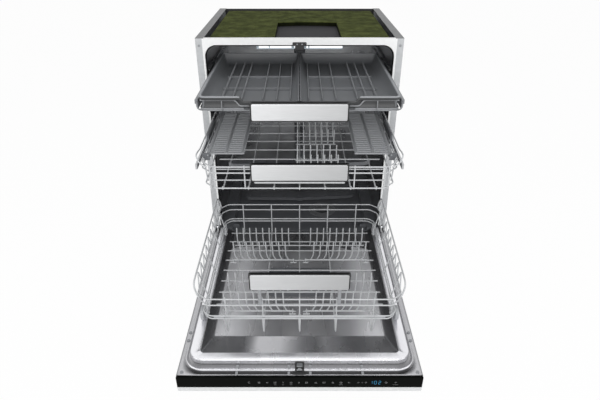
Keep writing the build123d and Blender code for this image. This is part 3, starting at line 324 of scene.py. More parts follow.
# Rows stand close together over the rounded share of the mat at its front and back edges.
edge_share = 0.012
near = edge_share * np.concatenate([[0.0], 1 - np.cos(np.linspace(0.12, np.pi / 2, 5))])
rows = np.concatenate([near, np.linspace(edge_share, 1 - edge_share, 90), 1 - near[::-1]])
depths = front_edge[None] + (mat_back - front_edge[None]) * rows[:, None]
lumps = np.random.default_rng(7).normal(0, 1, depths.shape)
kernel = np.array([1, 3, 4, 3, 1]) / 12
for axis in (0, 1):
    lumps = np.apply_along_axis(lambda line: np.convolve(line, kernel, "same"), axis, lumps)
crown = np.clip(np.minimum(rows, 1 - rows) / edge_share, 0, 1)[:, None] ** 0.5
side = np.clip((mat_half - np.abs(across)) / 4, 0, 1)[None] ** 0.5
top = mat_high - 0.9 - (1 - crown * side) * 3.5 + 0.7 * np.clip(lumps, -0.6, 0.6)
upper = np.stack(np.broadcast_arrays(across, depths, top), -1)
lower = np.stack(np.broadcast_arrays(across, depths, mat_low), -1)
wraps = np.concatenate([upper, lower[::-1]])
mat = [shell(wraps.transpose(1, 0, 2))]
felt_mat = piece("felt_mat_lumpy", mat, felt, "cabinet", ["felt_mat"], sharp=60)


# Strike, screws and lights at the top of the mouth: a black moulded plate with the hook that the
# door's catch grips, zinc-plated screws, and a clear bar with five lit segments behind the seal.
black_moulding, tree, shader = finish_for("black_glass_filled_nylon", "#141415", 0.45)
grained(tree, shader, 0.8, 0.03, rough=(0.38, 0.52))
dress(black_moulding, "door_strike", "latch_housing", "levelling_feet")
zinc, tree, shader = finish_for("zinc_plated_steel", "#8f9194", 0.35, 1.0)
grained(tree, shader, 2.0, 0.01, rough=(0.28, 0.42), tint=("#86888b", "#989a9d"))
dress(zinc, "panel_screws", "door_screws")
lens, tree, shader = finish_for("clear_acrylic_light_bar", "#c9d6de", 0.12)
grained(tree, shader, 3.0, 0.02, rough=(0.08, 0.2))
dress(lens, "tub_light")


# The tub: rolled stainless sheet, bent into a wrap and welded to a back wall. It is bright but
# not a mirror, with a fine rolling grain from front to back that smears its reflections. Its
# outside is coloured dark grey as painted shade.
stainless, tree, shader = finish_for("bright_rolled_stainless_sheet", "#97989a", 0.3, 1.0)
grained(tree, shader, 70.0, 0.2, stretch=(1, 5, 1), rough=(0.26, 0.36), tint=("#8d8e90", "#a2a3a5"))
# Painted shade: a dark grey coat covers what lies above the roof sheet's middle or beyond the side sheets'
# middle.
width = add(tree, "Math", {0: place_in(tree)["X"]}, operation="ABSOLUTE")
roof = reckon(tree, "GREATER_THAN", place_in(tree)["Z"], 0.7985)
flank = reckon(tree, "GREATER_THAN", width, 0.277)
outside = reckon(tree, "MAXIMUM", roof, flank)
coat = add(tree, "BsdfPrincipled", {"Base Color": linear("#232326"), "Roughness": 0.7, **dull_by(0.2)})
both = add(tree, "MixShader", {0: outside, 1: shader, 2: coat})
tree.links.new(both.outputs[0], tree.nodes["Material Output"].inputs["Surface"])
dress(stainless, "tub_shell")
drawn_rail, tree, shader = finish_for("drawn_stainless_rail", "#bcbdbf", 0.28, 1.0)
grained(tree, shader, 1.5, 0.003, stretch=(1, 40, 1), rough=(0.24, 0.34))
dress(drawn_rail, "upper_rails", "tray_rails", "upper_slides", "hinge_arms", "hinge_brackets")


# Moulded grey polypropylene: the tub's floor, arms, pipes, dispenser and guides. It is semi-matt,
# with the faint spark-eroded grain of the mould.
grey_moulding, tree, shader = finish_for("moulded_grey_polypropylene", "#5f6164", 0.46)
grained(tree, shader, 0.9, 0.03, rough=(0.4, 0.54), tint=("#5a5c5f", "#64666a"))
dress(
    grey_moulding, "tub_floor", "feed_duct", "lower_spray_arm", "middle_spray_arm", "top_spray_arm",
    "upper_feed_pipe", "dispenser", "dispenser_lid", "rinse_cap", "latch_catch", "hose_unions",
    "shelf_hangers", "height_adjusters",
)
mesh_filter, tree, shader = finish_for("fine_mesh_filter", "#6c6e70", 0.5)
grained(tree, shader, 1.0, 0.2, rough=(0.4, 0.6), tint=("#505254", "#8a8c8e"))
dress(mesh_filter, "filter_cup")
base_moulding, tree, shader = finish_for("moulded_black_base", "#2a2a2c", 0.55)
grained(tree, shader, 1.6, 0.05, rough=(0.48, 0.62))
dress(base_moulding, "base_tray", "sump", "drain_pump")
pump_case, tree, shader = finish_for("painted_pump_case", "#4b4e52", 0.4)
grained(tree, shader, 4.0, 0.05, rough=(0.34, 0.48))
dress(pump_case, "wash_pump")
iron, tree, shader = finish_for("rough_cast_iron", "#3a3a3b", 0.7, 0.6)
grained(tree, shader, 2.5, 0.3, rough=(0.6, 0.82))
dress(iron, "ballast")


# Wire of the baskets: steel wire bent, welded at its crossings and dipped in light grey nylon.
# The coating is smooth and semi-matt, and it softens every weld and tip.
nylon, tree, shader = finish_for("light_grey_nylon_coating", "#b8babc", 0.32, others={"Coat Weight": 0.15})
grained(tree, shader, 3.0, 0.02, rough=(0.26, 0.38), tint=("#b3b5b7", "#bdbfc1"))


def rounded(corners, bend, steps=5, closed=False):
    """A line with its corners rounded: between the points `bend` before and after corner C lies
    the curve (1-t)^2 A + 2t(1-t) C + t^2 B."""
    points = np.asarray(corners, float)
    t = np.linspace(0, 1, steps)[None, :, None]

    def towards(neighbour):
        run = neighbour - points
        length = np.linalg.norm(run, axis=1, keepdims=True).clip(1e-9)
        return points + run / length * np.minimum(bend, 0.48 * length)

    a, b = towards(np.roll(points, 1, 0)), towards(np.roll(points, -1, 0))
    arcs = (1 - t) ** 2 * a[:, None] + 2 * t * (1 - t) * points[:, None] + t ** 2 * b[:, None]
    if closed:
        return arcs.reshape(-1, 3)
    return np.vstack([points[:1], arcs[1:-1].reshape(-1, 3), points[-1:]])


def wire(path, radius, sides=10, closed=False):
    """A round section carried along a path. At each point a circle of that radius stands square
    to the path; an open end closes in a dome of two smaller circles."""
    path = np.asarray(path, float)
    if closed:
        ahead, back = np.roll(path, -1, 0), np.roll(path, 1, 0)
    else:
        ahead, back = np.vstack([path[1:], path[-1:]]), np.vstack([path[:1], path[:-1]])
    along = ahead - back
    along /= np.linalg.norm(along, axis=1, keepdims=True)
    radii = np.full(len(path), radius)
    if not closed:
        rise = np.radians([72, 38])[:, None]
        starts = path[:1] - along[:1] * radius * np.sin(rise)
        ends = path[-1:] + along[-1:] * radius * np.sin(rise[::-1])
        path = np.vstack([starts, path, ends])
        along = np.vstack([along[[0, 0]], along, along[[-1, -1]]])
        small = radius * np.cos(rise[:, 0])
        radii = np.concatenate([small, radii, small[::-1]])
    guides = np.array([(1, 0, 0), (0, 1, 0), (0, 0, 1), (1, 1, 1), (1, -1, 1), (-1, 1, 1), (1, 1, -1)], float)
    guides /= np.linalg.norm(guides, axis=1, keepdims=True)
    guide = guides[np.abs(along @ guides.T).max(axis=0).argmin()]
    across = guide - (along @ guide)[:, None] * along
    across /= np.linalg.norm(across, axis=1, keepdims=True)
    third = np.cross(along, across)
    angle = np.linspace(0, 2 * np.pi, sides, endpoint=False)
    circle = np.cos(angle)[None, :, None] * across[:, None] + np.sin(angle)[None, :, None] * third[:, None]
    return shell(path[:, None] + radii[:, None, None] * circle, closed)


def bent(side, corners, bend, radius, steps=5, sides=10):
    """A wire with rounded corners. They are given for the right half; side -1 mirrors them."""
    return wire(rounded([(side * x, d, z) for x, d, z in corners], bend, steps), radius, sides)


def crosswise(left, right, d, z, radius, sides=10):
    """A straight wire across the machine."""
    return wire([(left, d, z), (right, d, z)], radius, sides)


def hoop(half, front, back, z, cut, radius):
    """A level ring of wire round a basket, its corners cut at 45 degrees in short bends."""
    near, far, inner = front + cut, back - cut, half - cut
    path = rounded([
        (-inner, front, z), (inner, front, z), (half, near, z), (half, far, z),
        (inner, back, z), (-inner, back, z), (-half, far, z), (-half, near, z),
    ], 8, 6, closed=True)
    return wire(path, radius, closed=True)


# Walls of the lower basket: four hoops, a raised rail with a zigzag wire on each side, uprights,
# and the stub axles with their forks.
lower_front, lower_back = -493.0, -23.0
foot_z, top_z = 211, 279
lower_axles, axle_z = (lower_front + 46, lower_back - 46), 190.3
fold_rows, fold_z = (lower_front + 63, lower_front + 293), 180
thin, stout = 1.9, 2.3
lower_wires = [
    hoop(half, lower_front, lower_back, z, cut, thin)
    for z, half, cut in ((212, 249, 17), (221, 251.5, 18), (257, 258.5, 22), (277, 262, 24))
]
for side in (-1, 1):
    lower_wires.append(bent(side, [
        (258, lower_front + 9, 277), (264, lower_front + 8, 300), (266, lower_front + 10, 320),
        (265.5, lower_front + 36, 324), (265, lower_back - 46, 328), (263, lower_back - 20, 300),
        (261, lower_back - 16, 277),
    ], 14, stout))
    peaks = np.linspace(lower_front + 34, lower_back - 34, 21)
    zigzag = [(262.5, d, 322) if i % 2 else (260, d, 277) for i, d in enumerate(peaks)]
    lower_wires.append(bent(side, zigzag, 3, thin, 3))
    for d in np.linspace(lower_front + 66, lower_back - 66, 4):
        lower_wires.append(wire([(side * 242, d, foot_z), (side * 258.5, d, top_z)], thin))
for x in (-190, -95, 0, 95, 190):
    for d in (lower_front + 3.2, lower_back - 3.2):
        lower_wires.append(wire([(x, d, foot_z), (x, d, top_z)], thin))
for side in (-1, 1):
    for axle in lower_axles:
        lower_wires.append(crosswise(side * 246, side * 265.5, axle, axle_z, 3.9, 14))
        fork = [(247, axle - 12, 222), (247, axle - 9, 186), (247, axle + 9, 186), (247, axle + 12, 222)]
        lower_wires.append(bent(side, fork, 8, 2.0))
piece("lower_basket_side_wires", lower_wires, nylon, "lower_rack", ["lower_basket_walls"])


# Floor of the lower basket: five wires from front to back under closer cross wires, two fixed
# rows of tines and the ears that hold the folding ones.
floor_z, cross_z = 169.6, 173.2
floor_wires = []
for x, spread in ((-190, 8), (-95, 2.2), (0, 2.2), (95, 2.2), (190, 8)):
    floor_wires.append(bent(1, [
        (x - spread, lower_front + 4.2, 220), (x, lower_front + 4.4, 162.2), (x, lower_front + 34, floor_z),
        (x, lower_back - 4.4, floor_z), (x, lower_back - 4.4, 220),
    ], 7, thin))
    strut = [(x + spread, lower_front + 4.2, 220), (x + 0.6, lower_front + 4.4, 163.5)]
    floor_wires.append(wire(strut, thin))
for d in np.linspace(lower_front + 46, lower_back - 18, 9):
    floor_wires.append(crosswise(-232, 232, d, cross_z, thin))
for row in (lower_front + 150, lower_front + 380):
    floor_wires.append(crosswise(-212, 212, row, cross_z, thin))
    for side in (-1, 1):
        for x in np.linspace(34, 202, 9):
            tine = [(x, row, cross_z), (x + 2, row, 200), (x + 2, row, 241)]
            floor_wires.append(bent(side, tine, 6, thin, 3, 8))
for row in fold_rows:
    for x in (-208, -19, 19, 208):
        for d in (-5.0, 5.0):
            floor_wires.append(crosswise(x - 8, x + 8, row + d, cross_z, thin, 8))
        ear = [(x, row - 5, cross_z), (x, row - 5, 184), (x, row + 5, 184), (x, row + 5, cross_z)]
        floor_wires.append(bent(1, ear, 5, 1.6, sides=8))
piece("lower_basket_floor_wires", floor_wires, nylon, "lower_rack", ["lower_basket_floor"])


# Folding tines of the lower basket: each comb is a rod with a row of coated pins welded along it.
# The pins lean outwards at the foot.
for row_name, row in zip(("front", "rear"), fold_rows):
    for side_name, side in (("left", -1), ("right", 1)):
        comb = [crosswise(side * 17.5, side * 210, row, fold_z, 2.35, 12)]
        for x in np.linspace(34, 194, 9):
            tine = [(x, row, fold_z), (x + 9, row, 198), (x + 11, row, 248)]
            comb.append(bent(side, tine, 7, thin, 4, 8))
        piece(f"{row_name}_{side_name}_tines", comb, nylon, f"comb_{row_name}_{side_name}",
              [f"{row_name}_{side_name}_comb"])


# Wheels: light grey acetal rollers pushed on their stub axles. The rolled face is smooth, and a
# dished web with a raised hub shows from the side.
acetal, tree, shader = finish_for("moulded_grey_acetal", "#9c9ea1", 0.35)
grained(tree, shader, 1.5, 0.02, rough=(0.3, 0.42))


def turned(profile, centre, sides=40):
    """A profile of (distance along the axle, radius) turned about an axle across the machine."""
    angle = np.linspace(0, 2 * np.pi, sides, endpoint=False)
    out, r = np.asarray(profile, float).T[..., None]
    x, d, z = centre[0] + out, centre[1] + r * np.cos(angle), centre[2] + r * np.sin(angle)
    return shell(np.stack(np.broadcast_arrays(x, d, z), -1), closed=True)


wheel_profile = (
    (0, 4.06), (0, 18.6), (0.5, 19.6), (1.4, 20), (7.6, 20), (8.5, 19.6), (9, 18.6), (9, 16.8), (8.6, 16.2),
    (5.6, 15.8), (5.2, 15.2), (5.2, 9.0), (5.6, 8.4), (8.4, 8.0), (8.8, 7.4), (8.8, 4.06),
)
for name, axle in zip(("front", "rear"), lower_axles):
    wheels = [
        turned([(side * (255.5 + out), r) for out, r in wheel_profile], (0, axle, axle_z))
        for side in (-1, 1)
    ]
    piece(f"{name}_rollers", wheels, acetal, f"{name}_wheels", [f"lower_{name}_wheels"])


# Upper basket: the same coated wire, shallower. Its rail is raised along the sides and round the
# front corners, so that the front dips behind the handle.
upper_front, upper_back = -325.0, 145.0
upper_wires = [
    hoop(half, upper_front, upper_back, z, cut, thin)
    for z, half, cut in ((506, 247.8, 30), (550, 253.8, 32), (567, 253.8, 32))
]
for side in (-1, 1):
    upper_wires.append(bent(side, [
        (236, upper_front + 1, 567), (252, upper_front + 2, 574), (261, upper_front + 4, 596),
        (261, upper_front + 26, 596), (260.5, upper_front + 60, 590), (260, upper_back - 52, 590),
        (255, upper_back - 38, 567),
    ], 12, thin))
    for d in np.linspace(upper_front + 46, upper_back - 46, 5):
        upper_wires.append(wire([(side * 244.6, d, 505), (side * 250.6, d, 568)], thin))
for x in (-229, -219, -141, 141, 219, 229):
    for d in (upper_front + 3.2, upper_back - 3.2):
        upper_wires.append(wire([(x, d, 503), (x, d, 568)], thin))
piece("upper_basket_side_wires", upper_wires, nylon, "upper_rack", ["upper_basket_walls"])

cross_high = 502.2
lengthways = ((upper_front + 4, 508), (upper_front + 5, 499), (upper_back - 5, 499), (upper_back - 4, 508))
upper_mat = [bent(1, [(x, d, z) for d, z in lengthways], 4, thin, 4) for x in np.linspace(-200, 200, 7)]
for d in np.linspace(upper_front + 52, upper_back - 26, 7):
    upper_mat.append(crosswise(-232, 232, d, cross_high, thin))
for row in (upper_front + 110, upper_front + 175, upper_front + 290, upper_front + 355):
    upper_mat.append(crosswise(-10, 110, row, cross_high, thin))
    for x in np.linspace(-6, 106, 7):
        upper_mat.append(wire([(x, row, cross_high), (x, row, 549)], thin, 8))
piece("upper_basket_floor_wires", upper_mat, nylon, "upper_rack", ["upper_basket_floor"])


# Cup shelves: slotted mouldings that hinge on the upper basket's sides, paler than the guides,
# with a notched inner edge.
pale_moulding, tree, shader = finish_for("moulded_pale_grey_polypropylene", "#8d8f92", 0.4)
grained(tree, shader, 1.0, 0.02, rough=(0.34, 0.46), tint=("#888a8d", "#929497"))


def outline(half_x, half_y, corner, steps=6):
    """A rounded rectangle about the origin: four quarter circles joined by straight runs."""
    turn = np.linspace(0, np.pi / 2, steps)
    cx, cy = half_x - corner, half_y - corner
    return np.vstack([
        np.stack([sx + corner * np.cos(turn + q * np.pi / 2), sy + corner * np.sin(turn + q * np.pi / 2)], -1)
        for q, (sx, sy) in enumerate(((cx, cy), (-cx, cy), (-cx, -cy), (cx, -cy)))
    ])


def slab(centre, half_x, half_y, thick, corner, edge=1.0, plane="level"):
    """A flat plate with a rounded outline and rounded edges: outlines drawn in by edge(1 - sin a)
    stand at edge(1 - cos a) from each face. level lies flat, upright faces the front, and
    sideways faces across."""
    a = np.linspace(0, np.pi / 2, 4)
    drawn = np.concatenate([[edge * 2.2], edge * (1 - np.sin(a)), edge * (1 - np.sin(a[::-1])), [edge * 2.2]])
    raised = np.concatenate([[0], edge * (1 - np.cos(a)), thick - edge * (1 - np.cos(a[::-1])), [thick]])
    flat = np.stack([outline(half_x - i, half_y - i, max(corner - i, 0.15)) for i in drawn])
    lift = np.broadcast_to(raised[:, None] - thick / 2, flat.shape[:2])
    u, v = flat[..., 0], flat[..., 1]
    order = {"level": (u, v, lift), "upright": (u, lift, v), "sideways": (lift, u, v)}[plane]
    return shell(np.stack(order, -1) + np.asarray(centre, float))


shelf_z = 576
for name, side in (("left", -1), ("right", 1)):
    parts = [
        slab((side * x, -115, shelf_z), half, 150, thick, 2, 1.2)
        for x, half, thick in ((240, 4.8, 5), (194, 3.5, 4.6), (150, 3.5, 4.6))
    ]
    parts.append(wire([(side * 240, -272.9, shelf_z), (side * 240, 42.9, shelf_z)], 2.45, 14))
    for d in np.linspace(-262, 32, 23):
        parts.append(slab((side * 191, d, shelf_z), 46, 2.6, 4.2, 1.2, 0.9))
    piece(f"{name}_shelf_grid", parts, pale_moulding, f"cup_shelf_{name}",
          [f"{name}_cup_shelf"])


# Cutlery tray: two halves moulded in mid grey, each a shallow dish with a stepped rim that dips
# behind the handle, resting in a coated wire cradle.
tray_grey, tree, shader = finish_for("moulded_mid_grey_polypropylene", "#77797c", 0.4)
grained(tree, shader, 1.0, 0.03, rough=(0.34, 0.48), tint=("#67696c", "#717376"))
# Painted light and shade: the rim's top is made paler as a painted sheen, and the front skirt that
# hangs below it is darkened as painted shadow.
shaded(tree, shader, gradient(tree, "Z", 0.7222, 0.7248, 1.0, 1.8))
skirt = gradient(tree, "Y", -0.1826, -0.1820, 0.2, 1.0)
rim = gradient(tree, "Z", 0.7222, 0.7236, 0.0, 1.0)
shaded(tree, shader, reckon(tree, "MAXIMUM", skirt, rim))
tray_front, tray_back = -250.0, 200.0
# Points of the dish's section: how far in from its outline, and their height.
tray_profile = (
    (14, 690.4), (6.5, 690.4), (4.6, 691.2), (4.2, 693), (3.2, 694), (2.0, 694.6), (1.6, 696.2), (2.6, 697.4),
    (3, 712.6), (2.2, 714.6), (-1.5, 715.4), (-3.2, 716.2), (-4, 717.6), (-4.4, 720.5), (-4.5, 723.6),
    (-4, 725.4), (-2.8, 726), (0.8, 726), (1.8, 725.4), (2.4, 723.6), (3.4, 718), (7, 708), (12, 700),
    (20, 696), (28, 695.3), (44, 695.2),
)


def notched_rib(x, near, far, base, low, high, pitch):
    """A rib along the tray whose top rises from low to high and falls again once every pitch."""
    d = np.arange(near, far, pitch / 6)
    wave = np.clip(1.5 * np.abs(((d - near) / pitch) % 1 * 2 - 1) - 0.25, 0, 1)
    top = low + (high - low) * wave
    side = np.array([-2.2, -1.1, -0.6, 0.6, 1.1, 2.2])
    lift = np.array([0.0, 0.85, 1.0, 1.0, 0.85, 0.0])
    z = base + (top - base)[:, None] * lift
    return shell(np.stack(np.broadcast_arrays(x + side, d[:, None], z), -1))


tray_parts = []
for side in (-1, 1):
    rings = []
    for inset, height in tray_profile:
        ring = outline(124.75 - inset, 221 - inset, max(12 - inset, 3), 8)
        start = np.argmax(ring[:, 1] < 0)
        run = np.linspace(0, 1, 40)[1:-1, None]
        front_run = ring[start + 7] * (1 - run) + ring[start + 8] * run
        ring = np.vstack([ring[:start + 8], front_run, ring[start + 8:]])
        x = side * np.maximum(side * (ring[:, 0] + side * 127), 1.6)
        d = ring[:, 1] - 25
        near = np.clip((tray_front + 40 - d) / 12, 0, 1)
        dip = np.clip((153 - np.abs(x)) / 11, 0, 1)
        dip = dip * dip * (3 - 2 * dip) * near * np.clip((height - 697) / 26, 0, 1)
        rings.append(np.stack([x, d, height - 12.3 * dip], -1))
    tray_parts.append(shell(np.stack(rings)))
    for x in (24, 60, 96, 152, 176, 204):
        tray_parts.append(notched_rib(side * x, tray_front + 40, tray_back - 38, 694.8, 697.5, 708.5, 11.0))
    for d in (tray_front + 148, tray_front + 262):
        tray_parts.append(slab((side * 118, d, 699), 96, 1.1, 8, 0.8, 0.5))
piece("tray_dishes", tray_parts, tray_grey, "cutlery_tray", ["tray_halves"])

# Two beads stiffen the tray's front skirt: the pale upper one steps down beside the handle.
beads, low_beads = [], []
for side in (-1, 1):
    beads.append(bent(side, [
        (250, tray_front + 4.2, 715.6), (163, tray_front + 4.2, 715.6),
        (152, tray_front + 5.6, 700), (128, tray_front + 5.6, 700),
    ], 6, 1.7, 8))
    low_beads.append(slab((side * 196, tray_front + 4.8, 692.0), 56, 3.6, 4.4, 3.2, 1.6, "upright"))
piece("tray_skirt_beads", beads, pale_moulding, "cutlery_tray")

cradle_nylon, tree, shader = finish_for("mid_grey_nylon_coating", "#77797c", 0.36)
grained(tree, shader, 3.0, 0.02, rough=(0.3, 0.42), tint=("#727477", "#7d7f82"))
piece("tray_low_beads", low_beads, cradle_nylon, "cutlery_tray")
cradle_z, runner_z = 688.6, 709
tray_roller = ((265, 2), (265, 8), (265.6, 8.5), (273.8, 8.5), (274.4, 8), (274.4, 2))
cradle = [hoop(256, tray_front + 4, tray_back, cradle_z, 24, 1.8)]
for d in (tray_front + 90, tray_front + 225, tray_front + 360):
    cradle.append(crosswise(-256, 256, d, cradle_z, 1.8))
for side in (-1, 1):
    cradle.append(bent(side, [
        (196, tray_front + 4, cradle_z), (196, tray_front - 3.4, 690), (196, tray_front - 3.4, 713),
        (196, tray_front - 1.4, 714.6),
    ], 3, 1.6, 4))
    cradle.append(bent(side, [
        (116, tray_front + 4, cradle_z), (116, tray_front - 6, cradle_z), (116, tray_front - 7.4, 672),
    ], 5, stout))
    cradle.append(bent(side, [
        (246, tray_front + 3.6, 690), (252, tray_front - 1, 692), (259, tray_front + 0.6, 696),
        (261.5, tray_front + 5, 711), (262, tray_front + 24, 712), (262, tray_front + 27, 703),
    ], 6, thin))
    cradle.append(slab((side * 262.5, tray_front + 225, runner_z), 4, 215, 11, 1.5, 1.0))
    cradle.append(slab((side * 260, tray_front + 225, 699), 1.4, 215, 18, 1.0, 0.6))
    for d in (tray_back - 60, tray_back - 25):
        cradle.append(turned([(side * out, r) for out, r in tray_roller], (0, d, runner_z), 28))
piece("tray_cradle", cradle, cradle_nylon, "cutlery_tray", ["tray_carrier"])


# Handles: a black moulded backing, open underneath for the fingers, with a satin brushed
# stainless plate set into its face. The brush lines run across.
satin, tree, shader = finish_for("satin_brushed_stainless_plate", "#cfd0d1", 0.38, 1.0)
grained(tree, shader, 0.5, 0.003, stretch=(60, 1, 1), rough=(0.34, 0.44), tint=("#d4d5d6", "#dedfe0"))
# Painted shade: the plate darkens from its left end to 0.7 of its colour at its right end.
shaded(tree, shader, gradient(tree, "X", -0.125, 0.125, 1.0, 0.7))
tall = 50.0
# Half widths step down from the backing to the plate, so that a dark border shows round the plate.
for name, body, face, low, sill in (
    ("lower", "lower_rack", lower_front - 1.9, 316.0, 1.0),
    ("upper", "upper_rack", upper_front - 1.9, 530.0, 3.4),
    ("tray", "cutlery_tray", tray_front - 6.3, 664.0, 3.4),
):
    middle, high = low + tall / 2, low + tall
    backing = [
        slab((0, face - 4.6, high - 5), 125, 5, 9.2, 2.5, 1.0, "upright"),
        slab((0, face - 3.4, middle), 124.8, tall / 2, 6.8, 5, 1.0, "upright"),
    ]
    for side in (-1, 1):
        ends = np.linspace(low + 3, high - 2, 12)
        bow = 123.2 - 0.6 * ((high - ends) / tall) ** 2
        backing.append(wire(np.stack([side * bow, np.full(12, face - 6.4), ends], -1), 1.6, 8))
    backing.append(slab((0, face - 4.6, low + 2.0), 123, 2.0, 8.4, 2, 0.8, "upright"))
    piece(f"{name}_handle_backing", backing, black_moulding, body, [f"{name}_handle_frame"])
    bottom, top = low + sill, high - 2.8
    plate = slab((0, face - 8.6, (bottom + top) / 2), 121.4, (top - bottom) / 2, 2.6, 3.5, 0.9, "upright")
    piece(f"{name}_handle_face", [plate], satin, body, [f"{name}_handle_plate"])
hangers = [slab((side * 100, lower_front - 4.4, 292), 4.5, 28, 4.6, 2.2, 1.2, "upright") for side in (-1, 1)]
piece("lower_handle_hangers", hangers, pale_moulding, "lower_rack")
ledge = slab((0, upper_front - 5.3, 526.5), 116, 2.6, 6.0, 2.4, 0.8, "upright")
piece("upper_handle_ledge", [ledge], nylon, "upper_rack")


# The door's liner: one deep-drawn stainless pressing. A flat flange carries two shallow grooves
# with a ridge between, the raised rim the wheels run on, and a sunk pan with mitred corners. Its
# colour is painted with light and shade ring by ring, brighter where it stands up and darker where
# it lies low, and the pan carries bands of painted reflection.
mirror_steel, tree, shader = finish_for("deep_drawn_bright_stainless", "#f2f3f6", 0.26, 1.0)
grained(tree, shader, 60.0, 0.15, stretch=(1, 6, 1), rough=(0.22, 0.32), tint=("#ececf0", "#f8f8fb"))
painted_tones = add(tree, "Attribute", attribute_name="polish")
painted_tones = add(tree, "SeparateColor", {0: painted_tones.outputs["Color"]})
across_pan = add(tree, "MapRange", {"Value": place_in(tree)["X"], "From Min": -0.25, "From Max": 0.25})
# The painted reflection bands of the slope lie on the front slope only.
across_slope = reckon(tree, "MULTIPLY", across_pan, gradient(tree, "Y", -0.4101, -0.41, 1.0, 0.0))
slope_bands = add(tree, "ValToRGB", {"Fac": across_slope}, stops=(
    (0.0, "#9a9a9a"), (1.0, "#9a9a9a"), (0.21, "#969696"), (0.285, "#ffffff"), (0.4, "#ffffff"),
    (0.47, "#dedede"), (0.53, "#c0c0c0"), (0.58, "#a8a8a8"), (0.64, "#cccccc"), (0.76, "#8e8e8e"),
))
floor_bands = add(tree, "ValToRGB", {"Fac": across_pan}, stops=(
    (0.06, "#f4f4f4"), (0.95, "#fafafa"), (0.14, "#ffffff"), (0.26, "#d2d2d4"), (0.4, "#bcbdc2"),
    (0.52, "#cccdd0"), (0.64, "#b8b9be"), (0.78, "#d8d8da"), (0.88, "#ffffff"),
))
on_floor = reckon(tree, "LESS_THAN", place_in(tree)["Z"], 0.1372)
off_floor = reckon(tree, "SUBTRACT", 1.0, on_floor)
bands = add(tree, "VectorMath", {0: floor_bands, "Scale": on_floor}, operation="SCALE")
others = add(tree, "VectorMath", {0: slope_bands, "Scale": off_floor}, operation="SCALE")
bands = add(tree, "VectorMath", {0: bands, 1: others}, operation="ADD")
# Outside the pan, where the attribute's green is 0, the painted reflection bands fade to plain white.
bands = add(tree, "VectorMath", {0: bands, 1: (1.0, 1.0, 1.0)}, operation="SUBTRACT")
bands = add(tree, "VectorMath", {0: bands, "Scale": painted_tones.outputs["Green"]}, operation="SCALE")
bands = add(tree, "VectorMath", {0: bands, 1: (1.0, 1.0, 1.0)}, operation="ADD")
band = add(tree, "SeparateXYZ", {0: bands}).outputs["X"]
shaded(tree, shader, painted_tones.outputs["Red"])
shaded(tree, shader, band)
# Where the painted reflection bands are brighter, the steel is made less metallic, so that it scatters more
# light than it mirrors.
matt_share_under_bands = add(tree, "MapRange", {"Value": band, "From Min": 0.3, "From Max": 1.0, "To Max": 0.42})
painted_streak = add(tree, "MapRange", {"Value": band, "From Min": 0.6, "From Max": 1.0, "To Max": 0.38})
matt_share_under_bands = reckon(tree, "ADD", matt_share_under_bands, reckon(tree, "MULTIPLY", painted_streak, off_floor))
matt_share_under_bands = reckon(tree, "MULTIPLY", matt_share_under_bands, painted_tones.outputs["Green"])
dull = reckon(tree, "SUBTRACT", 0.8, matt_share_under_bands)
tree.links.new(dull.outputs[0], shader.inputs["Metallic"])


def door_outline(half, front, radius, height):
    """Left edge, front and right edge of an outline on the door, with quarter-circle corners."""
    turn = np.linspace(0, np.pi / 2, 14)
    tail = -6.0
    sides = np.linspace(0, 1, 12)[1:]
    left = np.stack([np.full(11, -half), tail + (front + radius - tail) * sides], -1)
    a = np.stack([-half + radius - radius * np.cos(turn), front + radius - radius * np.sin(turn)], -1)
    b = np.stack([half - radius + radius * np.sin(turn), front + radius - radius * np.cos(turn)], -1)
    middle = np.stack([np.linspace(-half + radius, half - radius, 15)[1:-1], np.full(13, front)], -1)
    right = np.stack([np.full(11, half), tail + (front + radius - tail) * sides[::-1]], -1)
    line = np.vstack([(-half, tail), left[:-1], a, middle, b, right[1:], (half, tail)])
    return np.column_stack([line, np.full(len(line), height)])


